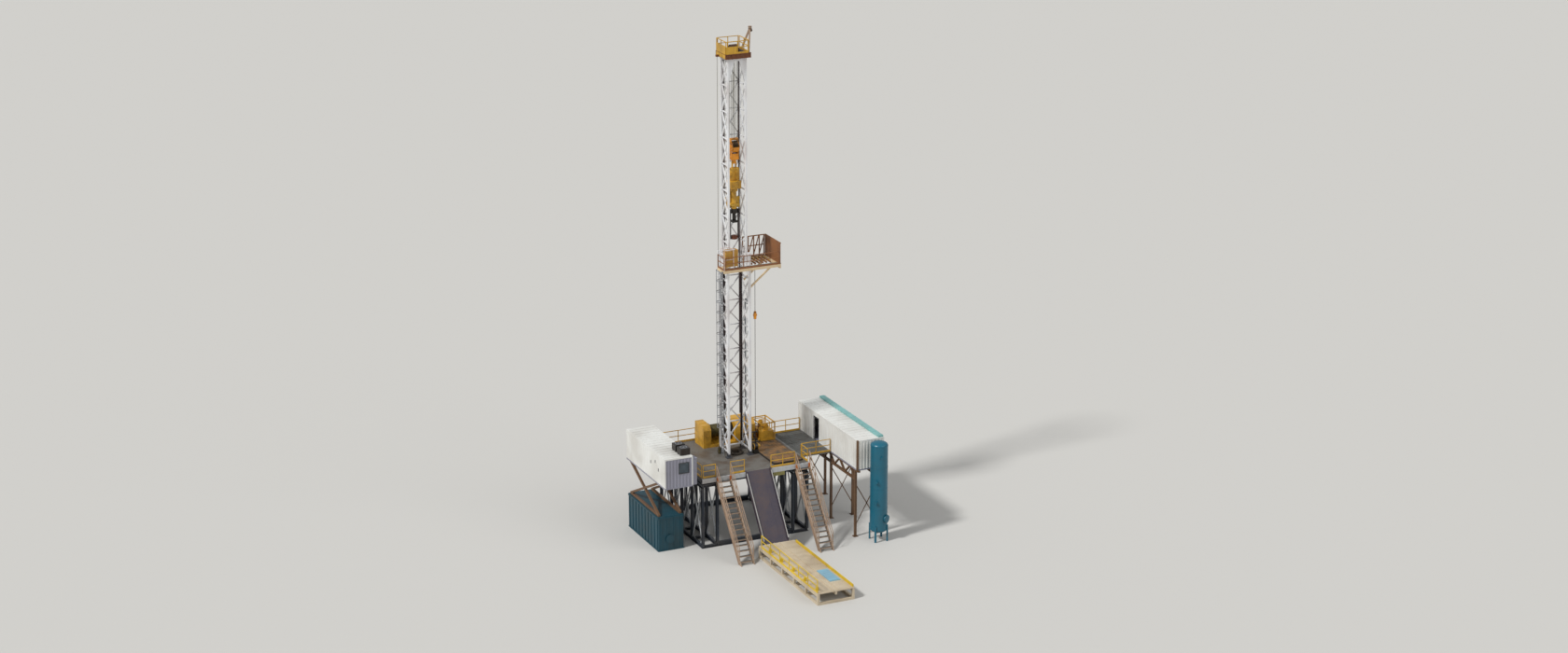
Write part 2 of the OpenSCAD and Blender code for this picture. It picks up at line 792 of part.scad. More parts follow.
module dolly() {
    shoe_in = guide_x - guide_w / 2 - guide_clear;
    flange_x = [shoe_in - 1, guide_x + 5];
    front_y = guide_y - guide_clear;
    back_y = guide_y + guide_w + guide_clear;
    beam_top = dolly_z + dolly_h;
    color("#d0a838") placed() {
        slab([-shoe_in, shoe_in], [dolly_y, dolly_y + 55], [dolly_z, beam_top]);
        slab([-150, 150], [dolly_y, dolly_y + 55], [beam_top - 1, drive_gear_z + 200]);
        for (side = [0, 1])
            for (z = [dolly_z, beam_top - 140])
                mirror([side, 0, 0]) {
                    slab([shoe_in - 40, shoe_in], [dolly_y, back_y + 24], [z, z + 140]);
                    slab(flange_x, [front_y - 36, front_y], [z, z + 140]);
                    slab([shoe_in - 40, shoe_in], [front_y - 36, dolly_y + 1], [z, z + 140]);
                    slab(flange_x, [back_y, back_y + 24], [z, z + 140]);
                }
        difference() {
            slab([-150, 150], [-110, dolly_y + 1], [dolly_z + 150, dolly_z + 230]);
            translate([0, 0, dolly_z + 140]) cylinder(h = 100, r = 95.3);
        }
    }
}

module pipe_handler() {
    color("#2c2a30") placed() {
        translate([0, 0, dolly_z - 160]) cylinder(h = 180, r = 130);
        translate([0, 0, link_top]) shaft(-link_span / 2 - 45, link_span / 2 + 45, link_pin_r);
        translate([0, 0, dolly_z - 420]) cylinder(h = 261, r = 62);
        slab([-40, 40], [60, 110], [dolly_z - 480, dolly_z - 40]);
        difference() {
            slab([-100, 100], [-90, 110], [dolly_z - 560, dolly_z - 470]);
            translate([0, 0, dolly_z - 570]) cylinder(h = 110, r = 70);
        }
    }
}

module lifting_links() {
    color("#3c3a3c") placed()
        for (side = [-1, 1])
            translate([side * (link_span / 2 + 15), 0, 0])
                across_x(-14, 28)
                difference() {
                    union() {
                        translate([0, link_top]) circle(r = 90);
                        translate([0, elevator_z + 60]) circle(r = 60);
                        translate([-26, elevator_z + 60]) square([52, link_l - 60]);
                    }
                    translate([0, link_top]) circle(r = link_pin_r + 0.3);
                }
}

module elevator() {
    color("#6a3a20") placed()
        translate([0, 0, elevator_z - 20])
        difference() {
            union() {
                cylinder(h = 150, r = 120);
                slab([-link_span / 2 - 1, link_span / 2 + 1], [-35, 35], [50, 110]);
            }
            translate([0, 0, -1]) cylinder(h = 152, r = 45);
        }
}

module racking_board() {
    z0 = board_deck_z - board_beam_h;
    half = lower_w / 2;
    beam = 60;
    back = finger_back + lower_leg;
    color("#b8a088") placed() {
        slab([-board_left, board_right], [-board_front, -board_inner], [board_deck_z - 40, board_deck_z]);
        slab([-board_left, board_right], [-board_front, -board_front + beam], [z0, board_deck_z - 39]);
        slab([board_right - beam, board_right], [-board_inner - 1, back], [z0, board_deck_z]);
        slab([half, board_right - beam + 1], [finger_back, back], [z0, board_deck_z]);
        slab([-board_left, -board_left + beam], [-board_inner - 1, finger_front + lower_leg], [z0, board_deck_z]);
        slab([-board_left, -half], [finger_front, finger_front + lower_leg], [z0, board_deck_z]);
        slab([-board_left + beam - 1, -half], [-board_inner - 1, finger_front + 1],
            [board_deck_z - 40, board_deck_z]);
        low = z0 - 60;
        slab([half, board_right], [finger_front, finger_front + beam], [low, low + 61]);
        slab([board_right - beam, board_right], [-board_front, back], [low, z0 + 1]);
        for (y = [finger_front + beam / 2, back - beam / 2])
            across_y(y - beam / 2, beam)
                intersection() {
                    translate([half, z0 - 2 * board_knee]) square([board_right - half, 2 * board_knee + 1]);
                    bar_2d([half - beam, z0 - board_knee], [board_right - beam / 3, z0 - beam / 3], beam);
                }
    }
}

module racking_fingers() {
    color("#7a5a44") placed()
        for (i = [0 : finger_slots - 1]) {
            x = finger_start + i * finger_pitch;
            slab([x, x + finger_w], [finger_front, finger_back], [board_deck_z - 60, board_deck_z]);
        }
}

module board_panels() {
    edge = 8;
    back = finger_back + lower_leg;
    bays_back = 4;
    color("#7a5238") placed() {
        across_y(back - 34, 26) {
            span = [lower_w / 2 + 20, board_right - 60];
            difference() {
                translate([span[0], board_deck_z]) square([span[1] - span[0], board_panel_h]);
                translate([span[0] + 40, board_deck_z + 40])
                    square([span[1] - span[0] - 80, board_panel_h - 80]);
            }
            step = (span[1] - span[0]) / bays_back;
            for (i = [0 : bays_back - 1]) {
                bar_2d([span[0] + i * step, board_deck_z + 20],
                    [span[0] + (i + 1) * step, board_deck_z + board_panel_h - 20], 36);
                translate([span[0] + i * step, board_deck_z]) square([40, board_panel_h]);
            }
            translate([span[0], board_deck_z + board_panel_h / 2]) square([span[1] - span[0], 36]);
        }
        slab([board_right - 34, board_right - edge], [-board_front + 40, back], [board_deck_z,
            board_deck_z + board_panel_h]);
        across_y(-board_front + edge, rail_w)
            rail_2d(-board_left + 60, board_right - 60, board_deck_z, rail_h);
        across_x(-board_left + edge, rail_w)
            rail_2d(-board_front + 60, finger_front + lower_leg, board_deck_z, rail_h);
    }
}

module hoist_line() {
    x = finger_start + finger_pitch + finger_w / 2;
    y = finger_front + 85;
    drum_axis = 310;
    drum_half = 90;
    hook_block_h = 300;
    color("#2e2a28") placed() {
        translate([x, y, floor_z + drum_axis + 120])
            cylinder(h = board_z - board_beam_h / 2 - 5 - drum_axis - 120, r = 11, $fn = 8);
        translate([x, y, floor_z + hoist_hook_z]) cylinder(h = hook_block_h, r = 55);
        slab([x - drum_half, x + drum_half], [y - 120, y + 120], [floor_z, floor_z + 200]);
        translate([x - drum_half, y, floor_z + drum_axis])
            rotate([0, 90, 0])
            cylinder(h = 2 * drum_half, r = 125);
    }
}

module drawworks() {
    bay = [-650, 450];
    color("#b08040") placed() {
        slab(skid_x, skid_y, [floor_z, floor_z + 120]);
        for (x = [[skid_x[0], bay[0]], [bay[1], skid_x[1]]])
            difference() {
                slab(x, skid_y, [floor_z + 119, floor_z + housing_h]);
                translate([x[0] - 1, skid_y[0] - 1, floor_z + housing_h * 0.8]) rotate([-35, 0, 0])
                    translate([0, -900, 0]) cube([x[1] - x[0] + 2, 900, 600]);
            }
        slab([bay[0] - 1, bay[1] + 1], [drum_y + flange_r + 10, skid_y[1]], [floor_z + 119, floor_z + 620]);
    }
}

// A tank with two upright motors on it inside a tube frame
module hydraulic_unit() {
    x = [skid_x[1] + 150, floor_right - 120];
    y = [setback_back + 120, skid_y[1] - 150];
    base = floor_z + hydraulic_base_h;
    tank_top = floor_z + hydraulic_tank_h;
    top = floor_z + hydraulic_h;
    inner_x = [x[0] + hydraulic_tube, x[1] - hydraulic_tube];
    inner_y = [y[0] + hydraulic_tube, y[1] - hydraulic_tube];
    color("#a8802c") placed() {
        difference() {
            slab(x, y, [floor_z, top]);
            slab([x[0] - 1, x[1] + 1], inner_y, [base, top - hydraulic_tube]);
            slab(inner_x, [y[0] - 1, y[1] + 1], [base, top - hydraulic_tube]);
            slab(inner_x, inner_y, [base, top + 1]);
        }
        slab([inner_x[0] + 10, inner_x[1] - 10], [inner_y[0] + 10, inner_y[1] - 10], [base - 5, tank_top]);
        for (v = [y[0] + motor_inset, y[1] - motor_inset])
            translate([(x[0] + x[1]) / 2, v, tank_top - 5]) {
                cylinder(h = 245, r = motor_r);
                translate([0, 0, 240]) cylinder(h = 50, r = motor_r - 45);
            }
    }
}

module drawworks_drum() {
    color("#5a5648") placed()
        translate([0, drum_y, drum_z]) {
            shaft(-650, 450, 70);
            shaft(-561, 361, drum_r);
            for (x = [-600, 360]) shaft(x, x + 40, flange_r);
        }
}

// Floor of a house as one slab
module house_slab_at(x0, y0, l, z) {
    slab([x0, x0 + house_w], [y0, y0 + l], [z, z + house_slab]);
}

// Outline of a corrugated sheet of length l on plan: its outer face steps in and out by the wave's depth
function wave_outline(l) =
    let (waves = ceil(l / wave_pitch), step = l / waves)
    concat([[0, house_wall], [0, 0]],
        [for (i = [0 : waves - 1]) each [[(i + 0.15) * step, 0], [(i + 0.3) * step, wave_depth],
            [(i + 0.7) * step, wave_depth], [(i + 0.85) * step, 0]]],
        [[l, 0], [l, house_wall]]);

// A corrugated wall along U from the origin, its waves facing -V, with openings given as [place, sill, width, height]
module corrugated_wall(l, cuts) {
    difference() {
        translate([0, 0, house_bottom + house_slab])
            linear_extrude(house_h - 2 * house_slab)
            polygon(wave_outline(l));
        for (c = cuts)
            slab([c[0], c[0] + c[2]], [-1, house_wall + 1], [floor_z + c[1], floor_z + c[1] + c[3]]);
    }
}

// The long wall on a house's left, then the one on its right, with openings placed from the wall's front end
module left_wall(x, y0, l, cuts) {
    translate([x, y0, 0]) mirror([1, -1, 0]) corrugated_wall(l, cuts);
}

module right_wall(x, y0, l, cuts) {
    translate([x, y0, 0]) rotate(90) corrugated_wall(l, cuts);
}

// The front wall of a house between its long walls, then the back one, with openings placed from the left
module front_wall(x0, y, cuts) {
    translate([x0 + house_wall, y, 0]) corrugated_wall(house_w - 2 * house_wall, cuts);
}

module back_wall(x0, y) {
    translate([x0 + house_wall, y, 0]) mirror([0, 1, 0]) corrugated_wall(house_w - 2 * house_wall, []);
}

module doghouse_floor() {
    color("#8a8a8c") placed() house_slab_at(-doghouse_left, -doghouse_front, doghouse_l, house_bottom);
}

module doghouse_side_walls() {
    inner_cuts = [[door_y[0] + doghouse_front, 0, door[0], door[1]],
        [side_window[0] + doghouse_front, side_window[1], side_window[2], side_window[3]]];
    color("#f2f2ee") placed() {
        left_wall(-doghouse_left, -doghouse_front, doghouse_l, []);
        right_wall(-doghouse_inner, -doghouse_front, doghouse_l, inner_cuts);
    }
}

module doghouse_end_walls() {
    color("#9a9aac") placed() {
        front_wall(-doghouse_left, -doghouse_front,
            [[end_window[0] - house_wall, end_window[1], end_window[2], end_window[3]]]);
        back_wall(-doghouse_left, doghouse_back);
    }
}

module doghouse_roof() {
    color("#f2f2ee") placed()
        house_slab_at(-doghouse_left, -doghouse_front, doghouse_l, roof_z - house_slab);
}

module roof_units() {
    x = -doghouse_inner - unit_w - 60;
    color("#34343a") placed()
        for (u = [0, 1]) {
            y = -doghouse_front + 120 + u * (unit_l + 140);
            slab([x, x + unit_w], [y, y + unit_l], [roof_z + 40, roof_z + unit_h]);
            for (v = [y + 40, y + unit_l - 90]) slab([x, x + unit_w], [v, v + 50], [roof_z, roof_z + 41]);
        }
}

module side_cabinet() {
    x = -doghouse_inner;
    y = side_window[0] - 60;
    color("#9a9aa8") placed() {
        slab([x, x + cabinet_w], [y - cabinet_d, y], [floor_z - 40, floor_z + cabinet_h]);
        slab([x, x + cabinet_w + 12], [y - cabinet_d - 12, y + 12], [floor_z + cabinet_h - 1,
            floor_z + cabinet_h + 16]);
    }
}

module water_tank_shell() {
    x = [-doghouse_left + 60, -doghouse_inner - 60];
    y = [-doghouse_front + tank_back, doghouse_back];
    wall = 20;
    color("#0c4450") placed()
        difference() {
            slab(x, y, [0, tank_h]);
            slab([x[0] + wall, x[1] - wall], [y[0] + wall, y[1] - wall], [wall + 60, tank_h + 1]);
        }
}

module water_tank_lid() {
    x = [-doghouse_left + 60, -doghouse_inner - 60];
    y = [-doghouse_front + tank_back, doghouse_back];
    color("#0c4450") placed() slab(x, y, [tank_h, tank_h + 30]);
}

module house_supports() {
    post = 90;
    tank_top = tank_h + 30;
    dog_x = [-doghouse_left + 100, -doghouse_inner - 100 - post];
    right_x = [right_house_inner + 60, right_house_right - 60 - post];
    end_gap = 300;
    leg_y = [-right_house_front + end_gap, -right_house_front + right_house_l * 0.46,
        right_house_back - end_gap - post];
    truss_h = 520;
    color("#5c4630") placed() {
        for (x = dog_x)
            across_x(x, post)
                lattice_2d(-doghouse_front + tank_back + 100, doghouse_back - 100, tank_top, house_bottom, 1, post,
                    true);
        for (x = right_x) {
            across_x(x, post) {
                for (y = leg_y) translate([y, 0]) square([post, house_bottom]);
                translate([-right_house_front, house_bottom - post]) square([right_house_l, post]);
                translate([leg_y[0], house_bottom - truss_h]) square([leg_y[2] - leg_y[0] + post, post]);
                for (i = [0 : 9]) {
                    step = (leg_y[2] - leg_y[0]) / 10;
                    low = house_bottom - truss_h + post / 2;
                    high = house_bottom - post / 2;
                    up = i % 2 == 0;
                    bar_2d([leg_y[0] + i * step + post / 2, up ? low : high],
                        [leg_y[0] + (i + 1) * step + post / 2, up ? high : low], 50);
                }
            }
        }
    }
}

module right_house_floor() {
    color("#8a8a8c") placed()
        house_slab_at(right_house_inner, -right_house_front, right_house_l, house_bottom);
}

module right_house_side_walls() {
    color("#f2f2ee") placed() {
        left_wall(right_house_inner, -right_house_front, right_house_l,
            [[door_y[1] + right_house_front, 0, door[0], door[1]]]);
        right_wall(right_house_right, -right_house_front, right_house_l, []);
    }
}

module right_house_end_walls() {
    color("#e6e2da") placed() {
        front_wall(right_house_inner, -right_house_front, []);
        back_wall(right_house_inner, right_house_back);
    }
}

module right_house_roof() {
    color("#f2f2ee") placed() {
        house_slab_at(right_house_inner, -right_house_front, right_house_l, roof_z - house_slab);
        slab([right_house_right - tray_w, right_house_right - 20], [-right_house_front + 40, right_house_back - 40],
            [roof_z - 1, roof_z + 70]);
    }
}

vessel_x = right_house_right - vessel_r - 60;
vessel_y = -right_house_front - vessel_r - 40;
vessel_dome = 150;

module vessel_shell() {
    wall = 16;
    color("#0a5f78") placed()
        translate([vessel_x, vessel_y, 0]) {
            difference() {
                translate([0, 0, 500]) cylinder(h = vessel_h - 500 - vessel_dome, r = vessel_r, $fn = 64);
                translate([0, 0, 499])
                    cylinder(h = vessel_h - 498 - vessel_dome, r = vessel_r - wall, $fn = 64);
            }
            for (a = [45 : 90 : 315])
                rotate(a) slab([vessel_r - 7, vessel_r + 45], [-40, 40], [0, 700]);
            slab([-60, 60], [vessel_r - 8, vessel_r + 40], [house_bottom, house_bottom + 80]);
        }
}

module vessel_ends() {
    color("#0a5f78") placed()
        translate([vessel_x, vessel_y, 0]) {
            translate([0, 0, vessel_h - vessel_dome])
                rotate_extrude($fn = 64)
                polygon(concat([[0, 0]], [for (i = [0 : 8])
                    [vessel_r * cos(i * 11.25), vessel_dome * sin(i * 11.25)]]));
            translate([0, 0, 500])
                rotate_extrude($fn = 64)
                polygon(concat([[0, 0]], [for (i = [0 : 8])
                    [(vessel_r - 8) * cos(i * 11.25), -vessel_dome * sin(i * 11.25)]]));
        }
}

module window_panes() {
    pane = 10;
    y = -doghouse_front + (house_wall - pane) / 2;
    x = -doghouse_inner - (house_wall + pane) / 2;
    u = -doghouse_left + end_window[0];
    side_z = floor_z + side_window[1];
    end_z = floor_z + end_window[1];
    color("#8fb0c0") placed() {
        slab([u, u + end_window[2]], [y, y + pane], [end_z, end_z + end_window[3]]);
        slab([x, x + pane], [side_window[0], side_window[0] + side_window[2]], [side_z, side_z + side_window[3]]);
    }
}

module vdoor_ramp() {
    t = 60;
    foot = [ramp_foot_y, catwalk_z];
    head = [-floor_front, floor_z];
    run = head - foot;
    slope = atan2(run[1], run[0]);
    length = norm(run);
    color("#2e2838") placed() {
        across_x(-ramp_w / 2, ramp_w)
            intersection() {
                translate([ramp_foot_y, 0]) square([ramp_run, floor_z]);
                translate(foot) rotate(slope) translate([-120, -t]) square([length + 240, t]);
            }
        for (side = [-1, 1])
            across_x(side * (ramp_w / 2 + 20) - 20, 40)
                intersection() {
                    translate([ramp_foot_y, 0]) square([ramp_run, floor_z + 60]);
                    translate(foot) rotate(slope) translate([-120, -t - 60]) square([length + 240, t + 130]);
                }
    }
}

stair_angle = atan2(floor_z, stair_run);
stringer_d = 180;

module stringer_2d() {
    top = [-floor_front, floor_z];
    intersection() {
        translate([-floor_front - stair_run - 400, 0]) square([stair_run + 400, floor_z]);
        translate(top) rotate(stair_angle)
            translate([-norm([stair_run, floor_z]) - 200, -stringer_d])
            square([norm([stair_run, floor_z]) + 400, stringer_d]);
    }
}

module stair_stringers() {
    color("#9a8070") placed()
        for (x0 = stair_top_x)
            for (x = [x0, x0 + stair_w - 24])
                across_x(x, 24) stringer_2d();
}

module stair_treads_set() {
    rise = floor_z / (stair_treads + 1);
    going = stair_run / (stair_treads + 1);
    color("#4a4038") placed()
        for (x0 = stair_top_x)
            for (i = [1 : stair_treads]) {
                y = -floor_front - i * going;
                z = floor_z - i * rise;
                slab([x0 + 24, x0 + stair_w - 24], [y - going * 0.35, y + going * 0.45], [z - 42, z - 24]);
            }
}

module stair_handrails() {
    run = [-stair_run, -floor_z];
    post_count = 4;
    color("#a8865c") placed()
        for (x0 = stair_top_x)
            for (x = [x0 - 24, x0 + stair_w])
                across_x(x, 24) {
                    top = [-floor_front, floor_z];
                    start = top + run * 0.02;
                    end = top + run * 0.93;
                    bar_2d(end + [0, rail_h], start + [0, rail_h], rail_w);
                    bar_2d(end + [0, rail_h / 2], start + [0, rail_h / 2], rail_w);
                    for (i = [0 : post_count]) {
                        p = start + (end - start) * i / post_count;
                        translate(p - [rail_w / 2, stringer_d * 0.8]) square([rail_w, rail_h + stringer_d * 0.8]);
                    }
                }
}

module catwalk() {
    y = [-catwalk_end, ramp_foot_y];
    half = catwalk_w / 2;
    beam = 90;
    bays = 5;
    step = (y[1] - y[0] - beam) / bays;
    color("#c8b89c") placed() {
        slab([-half, half], y, [catwalk_z - 40, catwalk_z]);
        for (x = [-half, -beam / 2, half - beam]) slab([x, x + beam], y, [catwalk_z - 160, catwalk_z - 39]);
        for (x = [-half, half - beam]) {
            slab([x, x + beam], y, [0, 100]);
            for (i = [0 : bays])
                slab([x, x + beam], [y[0] + i * step, y[0] + i * step + beam], [99, catwalk_z - 159]);
        }
        for (i = [0 : bays])
            slab([-half, half], [y[0] + i * step, y[0] + i * step + beam], [0, 100]);
    }
}

module catwalk_rails() {
    y = [-catwalk_end + 60, ramp_foot_y - 250];
    half = catwalk_w / 2;
    color("#e0c020") placed() {
        across_x(-half + 6, rail_w) rail_2d(y[0], y[1], catwalk_z, rail_h);
        slab([half - 60, half - 20], y, [catwalk_z, catwalk_z + 110]);
    }
}

left_side_box();
right_side_box();
spreaders();
floor_beams();
floor_deck();
side_walkways();
rotary_table();
setback_mat();
floor_handrails();
mast_shoes();
mast_lower_sides();
mast_lower_back();
mast_upper_sides();
mast_upper_back();
mast_portal();
guide_rails();
mast_ladder();
standpipe();
crown_platform();
crown_sheaves();
crown_rails();
gin_pole();
drilling_lines();
fast_and_dead_lines();
travelling_block();
block_sheave_set();
top_drive();
dolly();
pipe_handler();
lifting_links();
elevator();
racking_board();
racking_fingers();
board_panels();
hoist_line();
drawworks();
drawworks_drum();
hydraulic_unit();
doghouse_floor();
doghouse_side_walls();
doghouse_end_walls();
doghouse_roof();
roof_units();
side_cabinet();
water_tank_shell();
water_tank_lid();
house_supports();
right_house_floor();
right_house_side_walls();
right_house_end_walls();
right_house_roof();
vessel_shell();
vessel_ends();
window_panes();
vdoor_ramp();
stair_stringers();
stair_treads_set();
stair_handrails();
catwalk();
catwalk_rails();
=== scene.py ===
"""Half-scale land drilling rig: telescoping mast, top drive, drill floor, houses, ramp, stairs and catwalk.
Metres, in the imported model's frame: +Z up, +X to the off-driller's side, -Y towards the V-door."""

import math

import bpy
import numpy as np
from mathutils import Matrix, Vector


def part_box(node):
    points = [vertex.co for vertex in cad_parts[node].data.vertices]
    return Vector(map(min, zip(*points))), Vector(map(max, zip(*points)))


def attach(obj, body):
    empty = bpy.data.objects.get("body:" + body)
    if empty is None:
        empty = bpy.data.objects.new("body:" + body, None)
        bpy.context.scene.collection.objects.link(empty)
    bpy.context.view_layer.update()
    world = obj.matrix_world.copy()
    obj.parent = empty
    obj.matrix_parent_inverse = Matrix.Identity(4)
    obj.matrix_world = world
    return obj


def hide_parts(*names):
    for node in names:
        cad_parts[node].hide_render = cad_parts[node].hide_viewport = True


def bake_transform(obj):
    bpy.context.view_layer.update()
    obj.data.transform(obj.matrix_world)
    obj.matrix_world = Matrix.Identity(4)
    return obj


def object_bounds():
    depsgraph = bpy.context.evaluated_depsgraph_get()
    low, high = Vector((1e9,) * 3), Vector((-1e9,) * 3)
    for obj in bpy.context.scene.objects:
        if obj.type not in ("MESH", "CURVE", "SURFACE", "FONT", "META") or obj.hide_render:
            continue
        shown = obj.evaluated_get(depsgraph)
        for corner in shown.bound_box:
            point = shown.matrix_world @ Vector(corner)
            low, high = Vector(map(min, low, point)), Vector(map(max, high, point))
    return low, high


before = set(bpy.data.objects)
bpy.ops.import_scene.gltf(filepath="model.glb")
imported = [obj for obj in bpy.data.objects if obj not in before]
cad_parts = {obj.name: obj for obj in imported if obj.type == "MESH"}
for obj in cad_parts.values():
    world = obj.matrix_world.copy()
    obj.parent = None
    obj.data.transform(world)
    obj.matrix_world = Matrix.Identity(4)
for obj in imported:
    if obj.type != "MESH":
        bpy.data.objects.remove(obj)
cad_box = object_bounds()

# The camera looks from the driller's side of the V-door, a little above the racking board's height, through a
# long lens as the aerial photograph does, so the mast's legs stay nearly parallel.
AZIMUTH, ELEVATION = -25.0, 17.6
DISTANCE, FRAME_W, SENSOR = 120.0, 62.5, 36.0
AIM_RIGHT, AIM_Z = 0.2, 9.55


def towards(azimuth, elevation):
    """Direction in which a camera or lamp stands: degrees round from the V-door's side, and degrees above level."""
    turn, rise = math.radians(azimuth), math.radians(elevation)
    return Vector((math.sin(turn) * math.cos(rise), -math.cos(turn) * math.cos(rise), math.sin(rise)))


middle = (Vector(cad_box[0]) + Vector(cad_box[1])) / 2
sight = towards(AZIMUTH, ELEVATION)
lens = bpy.data.cameras.new("camera")
lens.sensor_width = SENSOR
lens.lens = SENSOR * DISTANCE / FRAME_W
lens.clip_end = 900.0
camera = bpy.data.objects.new("camera", lens)
camera.location = Vector((middle.x + AIM_RIGHT, middle.y, AIM_Z)) + sight * DISTANCE
camera.rotation_euler = sight.to_track_quat("Z", "Y").to_euler()
bpy.context.scene.collection.objects.link(camera)
bpy.context.scene.camera = camera
bpy.context.scene.view_settings.view_transform = "Standard"


# A pale studio floor under a broad key light from the driller's side, as the sun stands in the photograph, with
# a weak fill from the other side. The key is wide, so that the shadows are soft. The floor is matt paper.
def linear(code):
    """Turns an sRGB hex colour such as #c8780f into linear RGBA: each channel over 255, then the sRGB curve undone."""
    channels = [int(code[i:i + 2], 16) / 255 for i in (1, 3, 5)]
    return tuple(c / 12.92 if c <= 0.04045 else ((c + 0.055) / 1.055) ** 2.4 for c in channels) + (1.0,)


def add(tree, kind, inputs=None, **settings):
    """Adds one shader node with its settings, and gives each named input a value or links it to a socket."""
    made = tree.nodes.new(kind)
    for key, value in settings.items():
        setattr(made, key, value)
    for key, value in (inputs or {}).items():
        if isinstance(value, bpy.types.NodeSocket):
            tree.links.new(value, made.inputs[key])
        else:
            made.inputs[key].default_value = value
    return made


def finish(name):
    """A new material, with its node tree, its shader and the Object coordinates that its patterns read."""
    material = bpy.data.materials.new(name)
    material.use_nodes = True
    tree = material.node_tree
    return material, tree, tree.nodes["Principled BSDF"], add(tree, "ShaderNodeTexCoord").outputs["Object"]


def joined(*shapes):
    """Joins shapes, each (points, list of face arrays), by adding the count of the points before it to each index."""
    points, faces, start = [], [], 0
    for shape_points, shape_faces in shapes:
        points.append(shape_points)
        faces += [block + start for block in shape_faces]
        start += len(shape_points)
    return np.concatenate(points), faces


def spots(x, y, z):
    """Rows of points from coordinates, where a single number stands for the same value in every row."""
    return np.stack(np.broadcast_arrays(x, y, z), axis=-1).reshape(-1, 3).astype(float)


def span(base, low, high):
    """A (low, high) pair of coordinates counted from a base."""
    return base + low, base + high


def about(middle, half):
    """A (low, high) pair of coordinates that lie equally far from a middle."""
    return middle - half, middle + half


def slabs(x, y, z):
    """Boxes between (low, high) on each axis, a number or a row of them: each corner takes the low or the high."""
    lows, highs = spots(x[0], y[0], z[0]), spots(x[1], y[1], z[1])
    rows = max(len(lows), len(highs))
    lows, highs = np.broadcast_to(lows, (rows, 3)), np.broadcast_to(highs, (rows, 3))
    picks = np.array([[0, 0, 0], [1, 0, 0], [1, 1, 0], [0, 1, 0], [0, 0, 1], [1, 0, 1], [1, 1, 1], [0, 1, 1]])
    points = lows[:, None, :] + picks[None] * (highs - lows)[:, None, :]
    sides = np.array([[0, 3, 2, 1], [4, 5, 6, 7], [0, 1, 5, 4], [1, 2, 6, 5], [2, 3, 7, 6], [3, 0, 4, 7]])
    return points.reshape(-1, 3), [((np.arange(rows) * 8)[:, None, None] + sides[None]).reshape(-1, 4)]


def bare_object(name, shape, material):
    """An object at the origin whose mesh holds the shape, with flat faces and one material."""
    points, faces = shape
    mesh = bpy.data.meshes.new(name)
    mesh.from_pydata(points.tolist(), [], [face for block in faces for face in block.tolist()])
    mesh.materials.append(material)
    made = bpy.data.objects.new(name, mesh)
    bpy.context.scene.collection.objects.link(made)
    return made


paper, _, shader, _ = finish("matt studio paper")
shader.inputs["Base Color"].default_value = linear("#cac8c3")
shader.inputs["Roughness"].default_value = 0.95
shader.inputs["Specular IOR Level"].default_value = 0.1
bare_object("studio_floor", slabs(about(0, 450), about(0, 450), (-0.5, -0.002)), paper)

for name, strength, width, azimuth, elevation in (("key_light", 2.35, 7.0, -78.0, 46.0),
                                                  ("fill_light", 0.55, 40.0, 35.0, 35.0)):
    sun = bpy.data.lights.new(name, "SUN")
    sun.energy = strength
    sun.angle = math.radians(width)
    lamp = bpy.data.objects.new(name, sun)
    lamp.rotation_euler = towards(azimuth, elevation).to_track_quat("Z", "Y").to_euler()
    bpy.context.scene.collection.objects.link(lamp)

world = bpy.data.worlds.new("pale studio")
world.use_nodes = True
bpy.context.scene.world = world
world.node_tree.nodes["Background"].inputs["Color"].default_value = linear("#f2f4f7")
world.node_tree.nodes["Background"].inputs["Strength"].default_value = 0.5


# Side boxes of the substructure: rolled H-beams welded into two trusses a side, painted dark blue-grey, with
# X-bracing of lighter round tube welded to gusset plates at the posts.
def carry(starts, ends, outline, up=(0, 0, 1)):
    """Carries a closed outline (counter-clockwise, across and up) along straight runs from starts to ends. Across
    is the run's direction times up, and the outline's second axis is across times the direction."""
    starts, ends = (np.atleast_2d(np.asarray(points, float)) for points in (starts, ends))
    outline = np.asarray(outline, float)
    along = (ends - starts) / np.linalg.norm(ends - starts, axis=1, keepdims=True)
    across = np.cross(along, np.broadcast_to(np.asarray(up, float), along.shape))
    across /= np.linalg.norm(across, axis=1, keepdims=True)
    top = np.cross(across, along)
    section = outline[None, :, :1] * across[:, None] + outline[None, :, 1:] * top[:, None]
    points = np.stack([starts[:, None] + section, ends[:, None] + section], axis=1)
    count = len(outline)
    ring = np.arange(count)
    after = (ring + 1) % count
    sides = np.stack([ring, ring + count, after + count, after], axis=1)
    offset = (np.arange(len(starts)) * 2 * count)[:, None, None]
    caps = np.stack([ring, (ring + count)[::-1]])
    return points.reshape(-1, 3), [(offset + sides[None]).reshape(-1, 4), (offset + caps[None]).reshape(-1, count)]


def h_outline(width, height, web, flange):
    """Outline of an H-beam: two flanges joined by a web, counter-clockwise from the lower left corner."""
    w, h, t = width / 2, height / 2, web / 2
    right = [(w, -h), (w, -h + flange), (t, -h + flange), (t, h - flange), (w, h - flange), (w, h)]
    return right + [(-u, -v) for u, v in right]


def flat_outline(width, height):
    """Outline of a flat or square bar: its four corners."""
    return [(u * width / 2, v * height / 2) for u, v in ((-1, -1), (1, -1), (1, 1), (-1, 1))]


def round_outline(radius, sides):
    """Outline of a round bar: points at equal turns about its centre."""
    turn = np.arange(sides) * 2 * np.pi / sides
    return np.stack([radius * np.cos(turn), radius * np.sin(turn)], axis=1)


